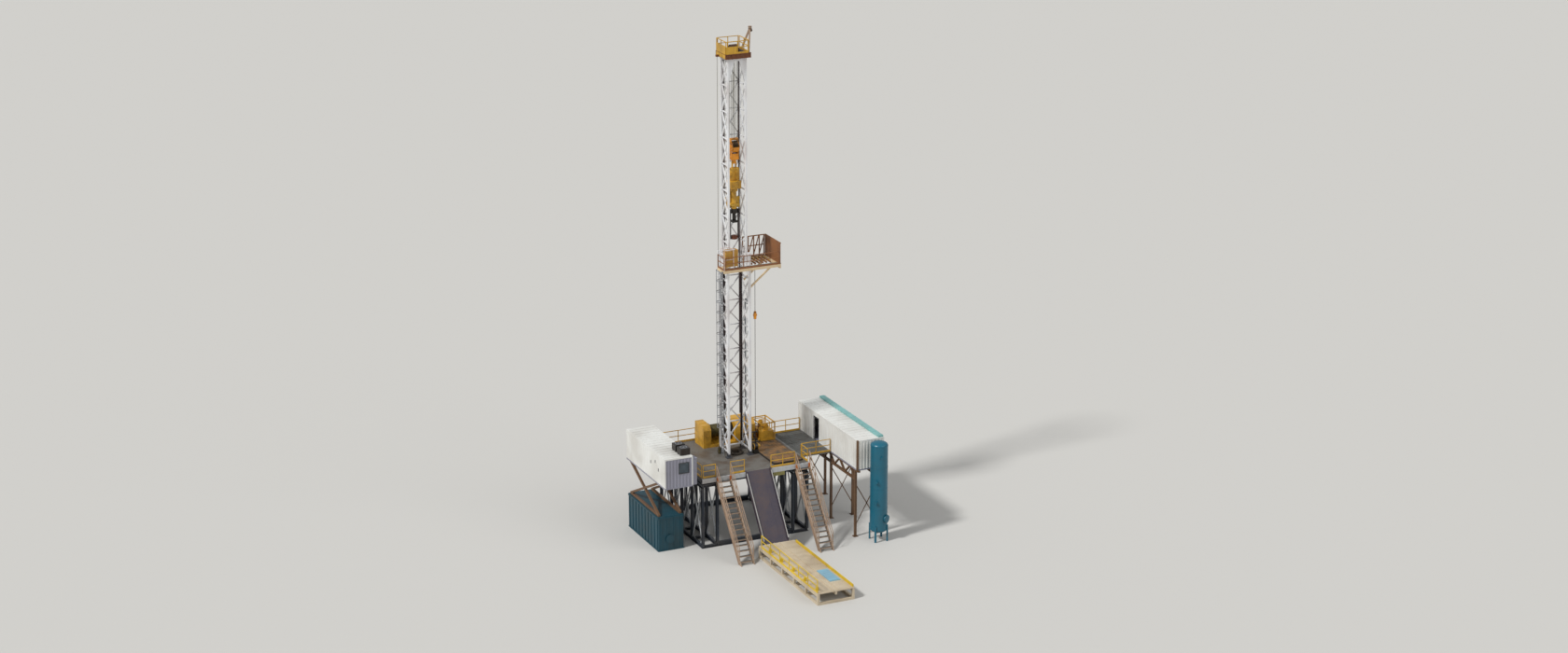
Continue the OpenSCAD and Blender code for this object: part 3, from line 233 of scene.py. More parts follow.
def worn_paint(name, coat, grime, rust, *, grime_share=0.35, rust_share=0.12, gloss=0.5, metal=0.0,
               patch_mm=900, streak_mm=45, speck_mm=28):
    """Sprayed alkyd enamel on steel that has stood outdoors. Weather patches, run-off streaks stretched down the
    steel and rust specks are noise at their real sizes, each mixed over the coat by its share."""
    material, tree, shader, place = finish(name)
    patches = add(tree, "ShaderNodeTexNoise", {"Vector": place, "Scale": 1000 / patch_mm, "Detail": 3.0})
    falling = add(tree, "ShaderNodeMapping", {"Vector": place, "Scale": (1.0, 1.0, 0.035)})
    streaks = add(tree, "ShaderNodeTexNoise", {"Vector": falling.outputs[0], "Scale": 1000 / streak_mm,
                                               "Detail": 3.0, "Roughness": 0.6})
    specks = add(tree, "ShaderNodeTexNoise", {"Vector": place, "Scale": 1000 / speck_mm, "Detail": 4.0,
                                              "Roughness": 0.7})
    patch_mask = add(tree, "ShaderNodeMapRange", {"Value": patches.outputs[0], "From Min": 0.42, "From Max": 0.68})
    streak_mask = add(tree, "ShaderNodeMapRange", {"Value": streaks.outputs[0], "From Min": 0.5, "From Max": 0.78})
    grime_mask = add(tree, "ShaderNodeMath", {0: patch_mask.outputs[0], 1: streak_mask.outputs[0]},
                     operation="MAXIMUM")
    grime_amount = add(tree, "ShaderNodeMath", {0: grime_mask.outputs[0], 1: grime_share}, operation="MULTIPLY")
    speck_mask = add(tree, "ShaderNodeMapRange", {"Value": specks.outputs[0], "From Min": 0.62 - rust_share * 0.4,
                                                  "From Max": 0.80 - rust_share * 0.4})
    near_patch = add(tree, "ShaderNodeMath", {0: patch_mask.outputs[0], 1: 0.2}, operation="ADD")
    rust_amount = add(tree, "ShaderNodeMath", {0: speck_mask.outputs[0], 1: near_patch.outputs[0]},
                      operation="MULTIPLY", use_clamp=True)
    grimed = add(tree, "ShaderNodeMix", {0: grime_amount.outputs[0], 6: linear(coat), 7: linear(grime)},
                 data_type="RGBA")
    rusted = add(tree, "ShaderNodeMix", {0: rust_amount.outputs[0], 6: grimed.outputs[2], 7: linear(rust)},
                 data_type="RGBA")
    rough = add(tree, "ShaderNodeMapRange", {"Value": rust_amount.outputs[0], "To Min": gloss, "To Max": 0.9})
    pitted = add(tree, "ShaderNodeBump", {"Height": specks.outputs[0], "Distance": 0.002, "Strength": 0.35})
    tree.links.new(rusted.outputs[2], shader.inputs["Base Color"])
    tree.links.new(rough.outputs[0], shader.inputs["Roughness"])
    tree.links.new(pitted.outputs[0], shader.inputs["Normal"])
    shader.inputs["Metallic"].default_value = metal
    return material


def piece(name, shape, material, replaced=(), body="rig"):
    """A finished piece: its mesh, its finish, the body that it rides on and the CAD nodes that it stands for."""
    made = bare_object(name, shape, material)
    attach(made, body)
    if replaced:
        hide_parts(*replaced)
    return made


def coat_nodes(material, *names):
    """Gives CAD nodes that stay as they are their finish."""
    for name in names:
        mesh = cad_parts[name].data
        mesh.materials.clear()
        mesh.materials.append(material)
        mesh.polygons.foreach_set("material_index", np.zeros(len(mesh.polygons), np.int32))


navy_enamel = worn_paint("alkyd enamel on rolled steel, dark blue grey", "#27303c", "#5c5448", "#4a2c1c",
                         grime_share=0.32, rust_share=0.1, gloss=0.45)
brace_enamel = worn_paint("alkyd enamel on steel tube, light grey", "#a9adb0", "#7d7468", "#6a4632", grime_share=0.4)
rotary_low, rotary_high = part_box("rotary_table")
well = (rotary_low + rotary_high) / 2
floor_low, floor_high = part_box("floor_deck")
floor_z = floor_high.z
box_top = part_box("left_side_box")[1].z
BOX_BAYS = 4
BOX_BEAM = 0.110
CHORD_H = BOX_BEAM * 1.4
BRACE_R = 0.030
SEAT = 0.002
GUSSET = np.array([[0, 0], [0.20, 0], [0.20, 0.05], [0.05, 0.22], [0, 0.22]])
bay = (floor_high.y - floor_low.y - BOX_BEAM) / BOX_BAYS
post_y = floor_low.y + BOX_BEAM / 2 + np.arange(BOX_BAYS + 1) * bay
post_section = h_outline(BOX_BEAM, BOX_BEAM, 0.012, 0.014)
first, last = post_y[:-1] + BOX_BEAM / 2, post_y[1:] - BOX_BEAM / 2
bottom, top = CHORD_H + 0.02, box_top - CHORD_H - 0.02
frames, braces, plates = [], [], []
for node_name in ("left_side_box", "right_side_box"):
    side_low, side_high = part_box(node_name)
    truss_x = [side_low.x + BOX_BEAM / 2, side_high.x - BOX_BEAM / 2]
    for x in truss_x:
        for z in (CHORD_H / 2, box_top - CHORD_H / 2):
            frames.append(carry([x, floor_low.y, z], [x, floor_high.y, z], h_outline(BOX_BEAM, CHORD_H, 0.014, 0.018)))
        frames.append(carry(spots(x, post_y, CHORD_H - SEAT), spots(x, post_y, box_top - CHORD_H + SEAT),
                            post_section, (0, 1, 0)))
        for offset, (start_y, end_y) in ((0.012, (first, last)), (-0.012, (last, first))):
            braces.append(carry(spots(x + offset, start_y, bottom), spots(x + offset, end_y, top),
                                round_outline(BRACE_R, 12), (1, 0, 0)))
        # Gusset plates: a clipped corner plate at each end of each brace
        for start_y, turn in ((first, 1), (last, -1)):
            for z, rise in ((bottom - 0.02, 1), (top + 0.02, -1)):
                corner = (GUSSET * [turn, rise])[::turn * rise]
                starts = spots(x + 0.006, start_y, z)
                plates.append(carry(starts, starts - [0.012, 0, 0], corner))
    for y in post_y:
        for z in (BOX_BEAM / 2, box_top - BOX_BEAM / 2):
            frames.append(carry([truss_x[0] + 0.05, y, z], [truss_x[1] - 0.05, y, z], post_section))
piece("side_box_frames", joined(*frames), navy_enamel, ["left_side_box", "right_side_box"])
piece("side_box_braces", joined(*braces, *plates), brace_enamel)

# Spreaders on the ground between the side boxes and the floor's own grillage: rolled I-beams pinned between the
# boxes, in the same dark enamel as the boxes.
spreader_low, spreader_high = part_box("spreaders")
spreader_h = spreader_high.z - spreader_low.z
ends_y = np.array([spreader_low.y + BOX_BEAM / 2, spreader_high.y - BOX_BEAM / 2])
starts = spots(spreader_low.x, ends_y, spreader_h / 2)
piece("spreader_beams", carry(starts, starts + [spreader_high.x - spreader_low.x, 0, 0],
                              h_outline(BOX_BEAM, spreader_h, 0.012, 0.018)),
      navy_enamel, ["spreaders"])

GRID_BEAM = 0.110
ROTARY_CLEAR = 0.330 + GRID_BEAM / 2
grid_low, grid_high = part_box("floor_beams")
grid_h = grid_high.z - grid_low.z
half_front, half_back = (well.y - grid_low.y) / 2, (grid_high.y - well.y) / 2
cross_y = np.array([grid_low.y + GRID_BEAM / 2, well.y - half_front - 0.005, well.y - ROTARY_CLEAR,
                    well.y + ROTARY_CLEAR, well.y + half_back + 0.115, grid_high.y - GRID_BEAM / 2])
long_x = np.array([grid_low.x + GRID_BEAM / 2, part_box("left_side_box")[1].x - GRID_BEAM / 2, well.x - ROTARY_CLEAR,
                   well.x + ROTARY_CLEAR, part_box("right_side_box")[0].x + GRID_BEAM / 2,
                   grid_high.x - GRID_BEAM / 2])
across = spots(grid_low.x, cross_y, grid_low.z + grid_h / 2)
lengthways = spots(long_x, grid_low.y, grid_low.z + grid_h / 2 - 0.001)
piece("floor_grillage",
      joined(carry(across, across + [grid_high.x - grid_low.x, 0, 0], h_outline(GRID_BEAM, grid_h, 0.012, 0.02)),
             carry(lengthways, lengthways + [0, grid_high.y - grid_low.y, 0],
                   h_outline(GRID_BEAM - 0.004, grid_h - 0.002, 0.011, 0.019))),
      navy_enamel, ["floor_beams"])

# Drill floor: hot-rolled checker plate welded up in panels on the grillage, worn bright where people walk and
# stained by mud. A light grey channel closes its edge, with an olive drip pan under the front edge's right half.
deck_plate = worn_paint("checker plate, worn grey paint", "#6b6862", "#4d3d2c", "#5c3a24",
                        grime_share=0.72, rust_share=0.2, patch_mm=620)
tree = deck_plate.node_tree
place = add(tree, "ShaderNodeTexCoord").outputs["Object"]
# The plate's raised lozenges lie 60 mm apart on this model, coarser than the real 30 mm so that they show.
diagonal = add(tree, "ShaderNodeMapping", {"Vector": place, "Rotation": (0.0, 0.0, math.radians(45)),
                                           "Scale": (1.0, 1.0, 0.0)})
lozenges = add(tree, "ShaderNodeTexChecker", {"Vector": diagonal.outputs[0], "Scale": 1000 / 60})
raised = add(tree, "ShaderNodeBump", {"Height": lozenges.outputs["Fac"], "Distance": 0.004, "Strength": 0.5})
tree.links.new(raised.outputs[0], tree.nodes["Principled BSDF"].inputs["Normal"])
coat_nodes(deck_plate, "floor_deck")
SEAM_W, SEAM_H, SEAM_MARGIN = 0.022, 0.004, 0.03
seam_x = np.linspace(floor_low.x, floor_high.x, 7)[1:-1]
seam_y = np.linspace(floor_low.y, floor_high.y, 4)[1:-1]
seams = joined(slabs((seam_x, seam_x + SEAM_W), (floor_low.y + SEAM_MARGIN, floor_high.y - SEAM_MARGIN),
                     span(floor_z, -0.002, SEAM_H)),
               slabs((floor_low.x + SEAM_MARGIN, floor_high.x - SEAM_MARGIN), (seam_y, seam_y + SEAM_W),
                     (floor_z - 0.002, floor_z + SEAM_H - 0.001)))
piece("deck_weld_seams", seams, deck_plate)

edge_enamel = worn_paint("alkyd enamel on steel channel, pale grey", "#b9bcbe", "#85796a", "#74503a",
                         grime_share=0.45)
CHANNEL_H, CHANNEL_W, CHANNEL_T = 0.19, 0.06, 0.016
h, w, t = CHANNEL_H / 2, CHANNEL_W / 2, CHANNEL_T
# The channel's back lies against the deck's edge and its flanges point outwards
channel = [(w, h), (-w, h), (-w, h - t), (w - t, h - t), (w - t, -h + t), (-w, -h + t), (-w, -h), (w, -h)]
channel_y, channel_z = floor_low.y - w, floor_z - h - 0.012
ramp_low, ramp_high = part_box("vdoor_ramp")
piece("floor_edge_channels",
      carry(spots([floor_low.x, ramp_high.x + 0.01], channel_y, channel_z),
            spots([ramp_low.x - 0.01, floor_high.x], channel_y, channel_z), channel),
      edge_enamel)

olive_enamel = worn_paint("alkyd enamel on folded plate, olive", "#8a8450", "#5d5434", "#6a4a2c", grime_share=0.5,
                          rust_share=0.16)
pan_x = np.array([0.08, 0.62]) + ramp_high.x
pan_y, pan_z = floor_low.y, channel_z - h
rib_x = np.linspace(pan_x[0] + 0.02, pan_x[1] - 0.04, 5)
piece("floor_drip_pan",
      joined(slabs(pan_x, ([pan_y - 0.055, pan_y - 0.08], [pan_y - 0.035, pan_y - 0.05]),
                   (pan_z - 0.15, [pan_z + 0.004, pan_z - 0.13])),
             slabs((rib_x, rib_x + 0.02), span(pan_y, -0.07, -0.05), (pan_z - 0.14, pan_z))),
      olive_enamel)

# Rotary table: a cast and machined steel ring set in the floor, with a split master bushing, lifting holes and a
# ring of bolts. It is worn bright and greased.
def turned(centres, axis, radii, heights, sides, shut=False):
    """Turns a profile about an axis: rings of the given radii at the given heights along it, around each centre.
    The ends are capped, or with shut the last ring meets the first, as on a hoop."""
    centres = np.atleast_2d(np.asarray(centres, float))
    axis = np.asarray(axis, float) / np.linalg.norm(axis)
    radii, heights = np.asarray(radii, float), np.asarray(heights, float)
    aside = np.array([0.0, 1.0, 0.0]) if abs(axis[1]) < 0.7 else np.array([1.0, 0.0, 0.0])
    first = np.cross(aside, axis)
    first /= np.linalg.norm(first)
    second = np.cross(axis, first)
    turn = np.arange(sides) * 2 * np.pi / sides
    spokes = np.cos(turn)[:, None] * first + np.sin(turn)[:, None] * second
    body = radii[:, None, None] * spokes[None] + heights[:, None, None] * axis
    points = centres[:, None, None, :] + body[None]
    rings, step = len(radii), np.arange(sides)
    after = (step + 1) % sides
    row = np.arange(rings if shut else rings - 1)[:, None]
    upper = (row + 1) % rings
    quads = np.stack([row * sides + step, row * sides + after, upper * sides + after, upper * sides + step], axis=-1)
    offset = np.arange(len(centres)) * rings * sides
    faces = [(offset[:, None, None] + quads.reshape(1, -1, 4)).reshape(-1, 4)]
    if not shut:
        caps = np.stack([step[::-1], (rings - 1) * sides + step])
        faces.append((offset[:, None, None] + caps[None]).reshape(-1, sides))
    return points.reshape(-1, 3), faces


def hoop(centres, axis, inner, outer, height, sides, start=0.0):
    """A turned ring of square section between two radii, from start along its axis."""
    return turned(centres, axis, [inner, outer, outer, inner], [start, start, start + height, start + height],
                  sides, shut=True)


def around(centre, radius, count, axis=(0, 0, 1), start=0.0):
    """Points at equal turns on a circle about an axis."""
    axis = np.asarray(axis, float)
    aside = np.array([0.0, 1.0, 0.0]) if abs(axis[1]) < 0.7 else np.array([1.0, 0.0, 0.0])
    first = np.cross(aside, axis)
    second = np.cross(axis, first)
    turn = start + np.arange(count) * 2 * np.pi / count
    return np.asarray(centre, float) + radius * (np.cos(turn)[:, None] * first + np.sin(turn)[:, None] * second)


UP = (0, 0, 1)
cast_steel = worn_paint("greased cast steel", "#4b4640", "#2a2622", "#6a452c", grime_share=0.6, rust_share=0.2,
                        gloss=0.4, metal=0.55, patch_mm=300)
coat_nodes(cast_steel, "rotary_table")
table_centre = np.array([well.x, well.y, rotary_high.z])
# Inner radius, outer radius and height of the bushing's lip and of the table's rim
BUSHING_LIP, TABLE_RIM, BOLT_CIRCLE_R, TABLE_BOLTS = (0.176, 0.2, 0.012), (0.302, 0.318, 0.014), 0.262, 12
piece("rotary_bushing_and_bolts",
      joined(hoop(table_centre, UP, *BUSHING_LIP, 48), hoop(table_centre, UP, *TABLE_RIM, 48),
             turned(around(table_centre, BOLT_CIRCLE_R, TABLE_BOLTS), UP, [0.013, 0.013, 0.009],
                    [0.0, 0.011, 0.015], 6)),
      cast_steel)

# Setback mat: hardwood planks bedded side by side in an angle-iron frame, where the pipe stands rest. They are
# bruised and dark with mud.
mat_timber, tree, shader, place = finish("oak planks, bruised and muddy")
along_grain = add(tree, "ShaderNodeMapping", {"Vector": place, "Scale": (1.0, 0.05, 1.0)})
grain = add(tree, "ShaderNodeTexNoise", {"Vector": along_grain.outputs[0], "Scale": 1000 / 14, "Detail": 4.0})
mud = add(tree, "ShaderNodeTexNoise", {"Vector": place, "Scale": 1000 / 350, "Detail": 4.0})
mud_mask = add(tree, "ShaderNodeMapRange", {"Value": mud.outputs[0], "From Min": 0.42, "From Max": 0.66})
wood = add(tree, "ShaderNodeMix", {0: grain.outputs[0], 6: linear("#9a7448"), 7: linear("#5f4226")},
           data_type="RGBA")
muddy = add(tree, "ShaderNodeMix", {0: mud_mask.outputs[0], 6: wood.outputs[2], 7: linear("#54483a")},
            data_type="RGBA")
ridges = add(tree, "ShaderNodeBump", {"Height": grain.outputs[0], "Distance": 0.004, "Strength": 0.6})
tree.links.new(muddy.outputs[2], shader.inputs["Base Color"])
tree.links.new(ridges.outputs[0], shader.inputs["Normal"])
shader.inputs["Roughness"].default_value = 0.85
mat_low, mat_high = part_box("setback_mat")
PLANKS, PLANK_GAP, PLANK_WEAR, EDGE_ANGLE = 9, 0.003, 0.004, 0.03
mat_h = mat_high.z - mat_low.z
plank_w = (mat_high.x - mat_low.x - 2 * EDGE_ANGLE) / PLANKS
plank_x = mat_low.x + EDGE_ANGLE + np.arange(PLANKS) * plank_w
plank_drop = PLANK_WEAR * np.abs(np.sin(np.arange(PLANKS) * 2.3))
piece("setback_planks",
      slabs((plank_x + PLANK_GAP, plank_x + plank_w - PLANK_GAP), (mat_low.y + EDGE_ANGLE, mat_high.y - EDGE_ANGLE),
            (mat_low.z, mat_high.z - 0.002 - plank_drop)), mat_timber, ["setback_mat"])
frame_low, frame_high = mat_low + Vector((1, 1, 0)) * (EDGE_ANGLE / 2), mat_high - Vector((1, 1, 0)) * (EDGE_ANGLE / 2)
corners = spots([frame_low.x, frame_high.x, frame_high.x, frame_low.x],
                [frame_low.y, frame_low.y, frame_high.y, frame_high.y], (mat_low.z + mat_high.z) / 2)
piece("setback_frame", carry(corners, np.roll(corners, -1, axis=0), flat_outline(EDGE_ANGLE, mat_h)),
      cast_steel)

# Handrails of the floor: square tube posts, two rails and a kick plate, dropped into sockets, in safety yellow
# that has turned ochre.
rail_enamel = worn_paint("alkyd enamel on steel tube, safety yellow", "#d0a02c", "#7c6238", "#5a3a22",
                         grime_share=0.5, rust_share=0.18, patch_mm=600)
coat_nodes(rail_enamel, "floor_handrails")

# Walkways from the floor to the two houses: welded bar grating in angle frames, galvanised and dull.
galvanised = worn_paint("hot-dip galvanised steel, dull", "#8d8f8d", "#6a6257", "#6b4c36", grime_share=0.5,
                        rust_share=0.1, gloss=0.45, metal=0.6, patch_mm=350)


def grating(x, y, z, pitch, bar_w, depth, frame_w):
    """Bar grating between (low, high) on each axis: bearing bars across X at the pitch, cross rods along X at four
    times it, and a frame round them."""
    bars_x = np.arange(x[0] + frame_w, x[1] - frame_w, pitch)
    rods_y = np.arange(y[0] + frame_w, y[1] - frame_w, pitch * 4)
    return joined(slabs((bars_x, bars_x + bar_w), y, (z[1] - depth, z[1])),
                  slabs(x, (rods_y, rods_y + bar_w), (z[1] - depth * 0.6, z[1] - 0.001)),
                  slabs(([x[0], x[1] - frame_w], [x[0] + frame_w, x[1]]), y, (z[0], z[1] + 0.001)),
                  slabs(x, ([y[0], y[1] - frame_w], [y[0] + frame_w, y[1]]), z))


walk_low, walk_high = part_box("side_walkways")
# Where the two walkways lie along Y, from the well, then their bars' pitch, width and depth, and their frame's width
LEFT_WALK_Y, RIGHT_WALK_Y = (-1.3, 1.1), (-1.5, 1.5)
WALK_BAR = 0.045, 0.01, 0.035, 0.035
walk_z = walk_low.z, walk_high.z - 0.001
left_walk = grating((walk_low.x, floor_low.x), span(well.y, *LEFT_WALK_Y), walk_z, *WALK_BAR)
right_walk = grating((floor_high.x, walk_high.x), span(well.y, *RIGHT_WALK_Y), walk_z, *WALK_BAR)
piece("walkway_grating", joined(left_walk, right_walk), galvanised, ["side_walkways"])

# Mast: two telescoping sections of square tube. The lower one stands on pinned shoes, the upper one is run out of
# it and locked. White enamel, weathered grey on the legs and stained pinkish brown where water runs off the steel.
mast_enamel = worn_paint("alkyd enamel on square tube, white", "#e9eaeb", "#b09c92", "#7c4a34",
                         grime_share=0.42, gloss=0.4, patch_mm=1100, streak_mm=40)
coat_nodes(mast_enamel, "mast_lower_sides", "mast_lower_back", "mast_upper_sides", "mast_upper_back", "mast_portal")
shoe_enamel = worn_paint("alkyd enamel on cast shoes, charcoal", "#3f4248", "#5a5046", "#5f3a24",
                         grime_share=0.5, rust_share=0.2)
coat_nodes(shoe_enamel, "mast_shoes")
grey_enamel = worn_paint("alkyd enamel on steel, mid grey", "#8b8e92", "#6c6358", "#6a4630", grime_share=0.4)
coat_nodes(grey_enamel, "mast_ladder", "standpipe")
LOWER_LEG, UPPER_LEG, MAST_BAYS = 0.090, 0.075, 8
lower_low, lower_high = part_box("mast_lower_sides")
upper_low, upper_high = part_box("mast_upper_sides")
upper_half_x, upper_half_y = (upper_high.x - upper_low.x) / 2, (upper_high.y - upper_low.y) / 2
lower_half_x, lower_half_y = (lower_high.x - lower_low.x) / 2, (lower_high.y - lower_low.y) / 2
splice_z = upper_low.z

# Guide rails that the dolly runs on, greased over maroon enamel and darkened further as painted shade: the dark line
# down the mast stands for the greased steel and for the shaded open front of the mast. In the lower section a channel
# with its flanges forwards stands outboard of each rail, in the same dark painted shade.
rail_grease_and_shade = worn_paint("greased maroon enamel on guide rails", "#3a2626", "#241d1a", "#4c3222", grime_share=0.6,
                         rust_share=0.1, gloss=0.35)
coat_nodes(rail_grease_and_shade, "guide_rails")
RAIL_CHANNEL_W, FLANGE_T = 0.082, 0.008
channel_x = well.x + np.array([-0.430, 0.348])
rail_z = span(floor_z, 0.40, 7.93)
flange_x = np.concatenate([channel_x, channel_x + RAIL_CHANNEL_W - FLANGE_T])
piece("guide_rail_channels",
      joined(slabs((channel_x, channel_x + RAIL_CHANNEL_W), span(well.y, 0.262, 0.268), rail_z),
             slabs((flange_x, flange_x + FLANGE_T), span(well.y, 0.222, 0.264), rail_z)),
      rail_grease_and_shade)


# Gusset plates where the struts meet the legs, clipped at their corners and bolted, and the collars of channel
# round the four legs where the upper section locks into the lower one.
def bolt_heads(centres, axis, radius, height):
    """Hexagonal bolt heads that stand on a face, along its normal."""
    return turned(centres, axis, [radius, radius], [0.0, height], 6)


def mast_gussets(half_x, half_y, leg, low_z, high_z, size):
    """Gusset plates on a mast section: at each strut, a clipped plate on the outer face of each leg, on both
    sides and at the back, with its bolts."""
    strut_z = (low_z + 0.06 + np.arange(MAST_BAYS + 1) * (high_z - low_z - 0.12) / MAST_BAYS)[1:-1]
    outline = np.array([[-0.5, -1.0], [0.55, -0.75], [1.0, -0.25], [1.0, 0.25], [0.55, 0.75], [-0.5, 1.0]]) * size
    plates, bolts = [], []
    for side in (-1, 1):
        for inward, y in ((1, -half_y + leg * LEG_INSET), (-1, half_y - leg * LEG_INSET)):
            starts = spots(well.x + side * (half_x - 0.001), well.y + y, strut_z)
            plates.append(carry(starts, starts + [side * PLATE_T, 0, 0],
                                (outline * [-inward * side, 1])[::-inward * side]))
            for inboard, rise in GUSSET_BOLTS:
                bolts.append(bolt_heads(starts + [side * PLATE_T, inward * inboard * size, rise * size],
                                        (side, 0, 0), 0.007, 0.006))
        starts = spots(well.x + side * (half_x - leg * LEG_INSET), well.y + half_y - 0.001, strut_z)
        plates.append(carry(starts, starts + [0, PLATE_T, 0], (outline * [side, 1])[::side]))
    return joined(*plates, *bolts)


PLATE_T, LEG_INSET = 0.008, 0.55
GUSSET_BOLTS = (-0.25, -0.5), (-0.25, 0.5), (0.45, -0.3), (0.45, 0.3)
piece("mast_gussets",
      joined(mast_gussets(lower_half_x, lower_half_y, LOWER_LEG, lower_low.z, lower_high.z, 0.085),
             mast_gussets(upper_half_x, upper_half_y, UPPER_LEG, splice_z, upper_high.z, 0.07)),
      mast_enamel)
COLLAR_H, COLLAR_T, COLLAR_GAP = 0.12, 0.006, 0.012
leg_x = well.x + np.array([-1, 1, 1, -1]) * (lower_half_x - LOWER_LEG / 2)
leg_y = well.y + np.array([-1, -1, 1, 1]) * (lower_half_y - LOWER_LEG / 2)
reach = LOWER_LEG / 2 + COLLAR_GAP
collars = []
for z in (lower_high.z - COLLAR_H / 2 + 0.001, splice_z + COLLAR_H / 2):
    height = z - COLLAR_H / 2, z + COLLAR_H / 2
    for side in (-1, 1):
        collars.append(slabs(about(leg_x, reach),
                             (leg_y + side * reach - COLLAR_T, leg_y + side * reach + COLLAR_T), height))
        collars.append(slabs((leg_x + side * reach - COLLAR_T, leg_x + side * reach + COLLAR_T),
                             about(leg_y, reach), height))
piece("mast_collars", joined(*collars), mast_enamel)
piece("mast_shoe_pins",
      turned(spots(leg_x - 0.075, leg_y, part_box("mast_shoes")[0].z + 0.115), (1, 0, 0),
             [0.03, 0.03, 0.022, 0.022, 0.03, 0.03], [0.0, 0.01, 0.01, 0.14, 0.14, 0.15], 16),
      cast_steel)

# Ladder cage: hoops of flat bar every 900 mm of the real ladder, tied by five upright straps, all riveted.
ladder_low, ladder_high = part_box("mast_ladder")
CAGE_R, CAGE_REACH, HOOP_PITCH, HOOP_POINTS, STRAP_T = 0.17, 1.35, 0.45, 13, 0.006
hoop_z = np.arange(ladder_low.z + 1.25, ladder_high.z - 0.05, HOOP_PITCH)
bend = np.radians(np.linspace(90, 270, HOOP_POINTS))
arc = spots(ladder_low.x + CAGE_R * CAGE_REACH * np.cos(bend),
            (ladder_low.y + ladder_high.y) / 2 + CAGE_R * np.sin(bend) * 0.9, 0)
levels = spots(0, 0, hoop_z)[:, None]
strap_foot = arc[[1, 3, 6, 9, 11]] + [0, 0, hoop_z[0] - 0.01]
piece("ladder_cage",
      joined(carry((arc[:-1] + levels).reshape(-1, 3), (arc[1:] + levels).reshape(-1, 3),
                   flat_outline(STRAP_T, 0.028)),
             carry(strap_foot, strap_foot + [0, 0, hoop_z[-1] - hoop_z[0] + 0.02], flat_outline(STRAP_T, 0.024),
                   (0, 1, 0))),
      grey_enamel)

# Crown: a welded box frame that carries the sheaves, brown with rust, its left side and rails in faded ochre. The
# sheaves are cast steel on one shaft, and the gin pole for changing them is tan.
rusty_steel = worn_paint("red oxide primer on steel, rusting", "#70472a", "#4d3424", "#8a4c26",
                         grime_share=0.6, rust_share=0.45, gloss=0.7, patch_mm=500)
sheave_steel = worn_paint("cast steel sheave, greased and rusty", "#5d4634", "#2f2822", "#7d4a2a",
                          grime_share=0.6, rust_share=0.35, gloss=0.5, metal=0.35, patch_mm=250)
tan_enamel = worn_paint("alkyd enamel on steel, tan", "#a58c76", "#77634f", "#6e4a30", grime_share=0.45,
                        rust_share=0.15)
coat_nodes(rusty_steel, "crown_platform")
coat_nodes(sheave_steel, "crown_sheaves")
coat_nodes(rail_enamel, "crown_rails")
coat_nodes(tan_enamel, "gin_pole")
crown_low_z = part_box("crown_platform")[0].z
crown_deck_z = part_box("crown_rails")[0].z
CROWN_MARGIN, SHEAVE_BAY, KICK_H, WIND_PLATE_H, FLANGE_H = 0.13, 0.22, 0.34, 0.3, 0.016
left_x, right_x = well.x - upper_half_x - CROWN_MARGIN, well.x + upper_half_x + CROWN_MARGIN
front_y, back_y = well.y - upper_half_y - CROWN_MARGIN, well.y + upper_half_y + CROWN_MARGIN
# Grating strips on both sides of the sheaves, and ochre side plates on the left
strip_y, strip_z = (front_y + 0.02, back_y - 0.02), span(crown_deck_z, -0.03, 0.004)
CROWN_BAR = 0.04, 0.008, 0.03, 0.03
piece("crown_grating", joined(grating((left_x + 0.01, well.x - SHEAVE_BAY), strip_y, strip_z, *CROWN_BAR),
                              grating((well.x + SHEAVE_BAY, right_x - 0.01), strip_y, strip_z, *CROWN_BAR)),
      galvanised)
panel_pitch = (back_y - front_y - 0.08) / 3
panel_y = front_y + 0.04 + np.arange(3) * panel_pitch
piece("crown_side_panels",
      joined(slabs(span(left_x, -0.008, 0.001), (panel_y, panel_y + panel_pitch - 0.02),
                   (crown_low_z + 0.02, crown_deck_z - 0.02)),
             slabs(span(left_x, 0.002, 0.012), (front_y + 0.04, back_y - 0.04),
                   (crown_deck_z, crown_deck_z + KICK_H)),
             slabs((left_x + 0.03, well.x - 0.06), span(front_y, 0.003, 0.013),
                   (crown_deck_z, crown_deck_z + WIND_PLATE_H))),
      rail_enamel)
# Stiffeners and flanges on the frame's front, and the bolts that hold the frame to the mast's legs
rib_x = np.linspace(left_x + 0.06, right_x - 0.06, 6)
bolt_x = well.x + np.array([-1, -1, 1, 1]) * (upper_half_x - 0.0375) + [-0.055, 0.055, -0.055, 0.055]
piece("crown_ribs",
      joined(slabs(about(rib_x, 0.006), span(front_y, -0.022, 0.001),
                   (crown_low_z + 0.004, crown_deck_z - 0.004)),
             slabs((left_x, right_x), span(front_y, -0.024, 0.001),
                   ([crown_low_z, crown_deck_z - FLANGE_H], [crown_low_z + FLANGE_H, crown_deck_z])),
             bolt_heads(spots(bolt_x, front_y - 0.024, crown_low_z + 0.07), (0, -1, 0), 0.012, 0.01)),
      rusty_steel)
# Bearing caps over the sheave shaft, each with four studs
crown_axis_z = crown_deck_z + 0.07
cap_x = well.x + np.array([-0.185, 0.185])
stud_y = np.tile(well.y + np.array([-0.085, 0.085]), 4)
stud_z = np.tile(np.repeat([0.066, 0.067], 2), 2) + crown_axis_z
piece("crown_bearing_caps",
      joined(turned(spots(cap_x - 0.034, well.y, crown_axis_z), (1, 0, 0), [0.04, 0.062, 0.066, 0.066, 0.062, 0.04],
                    [0.0, 0.0, 0.006, 0.062, 0.068, 0.068], 32),
             bolt_heads(spots(np.repeat(cap_x, 4), stud_y, stud_z), UP, 0.009, 0.012)),
      cast_steel)

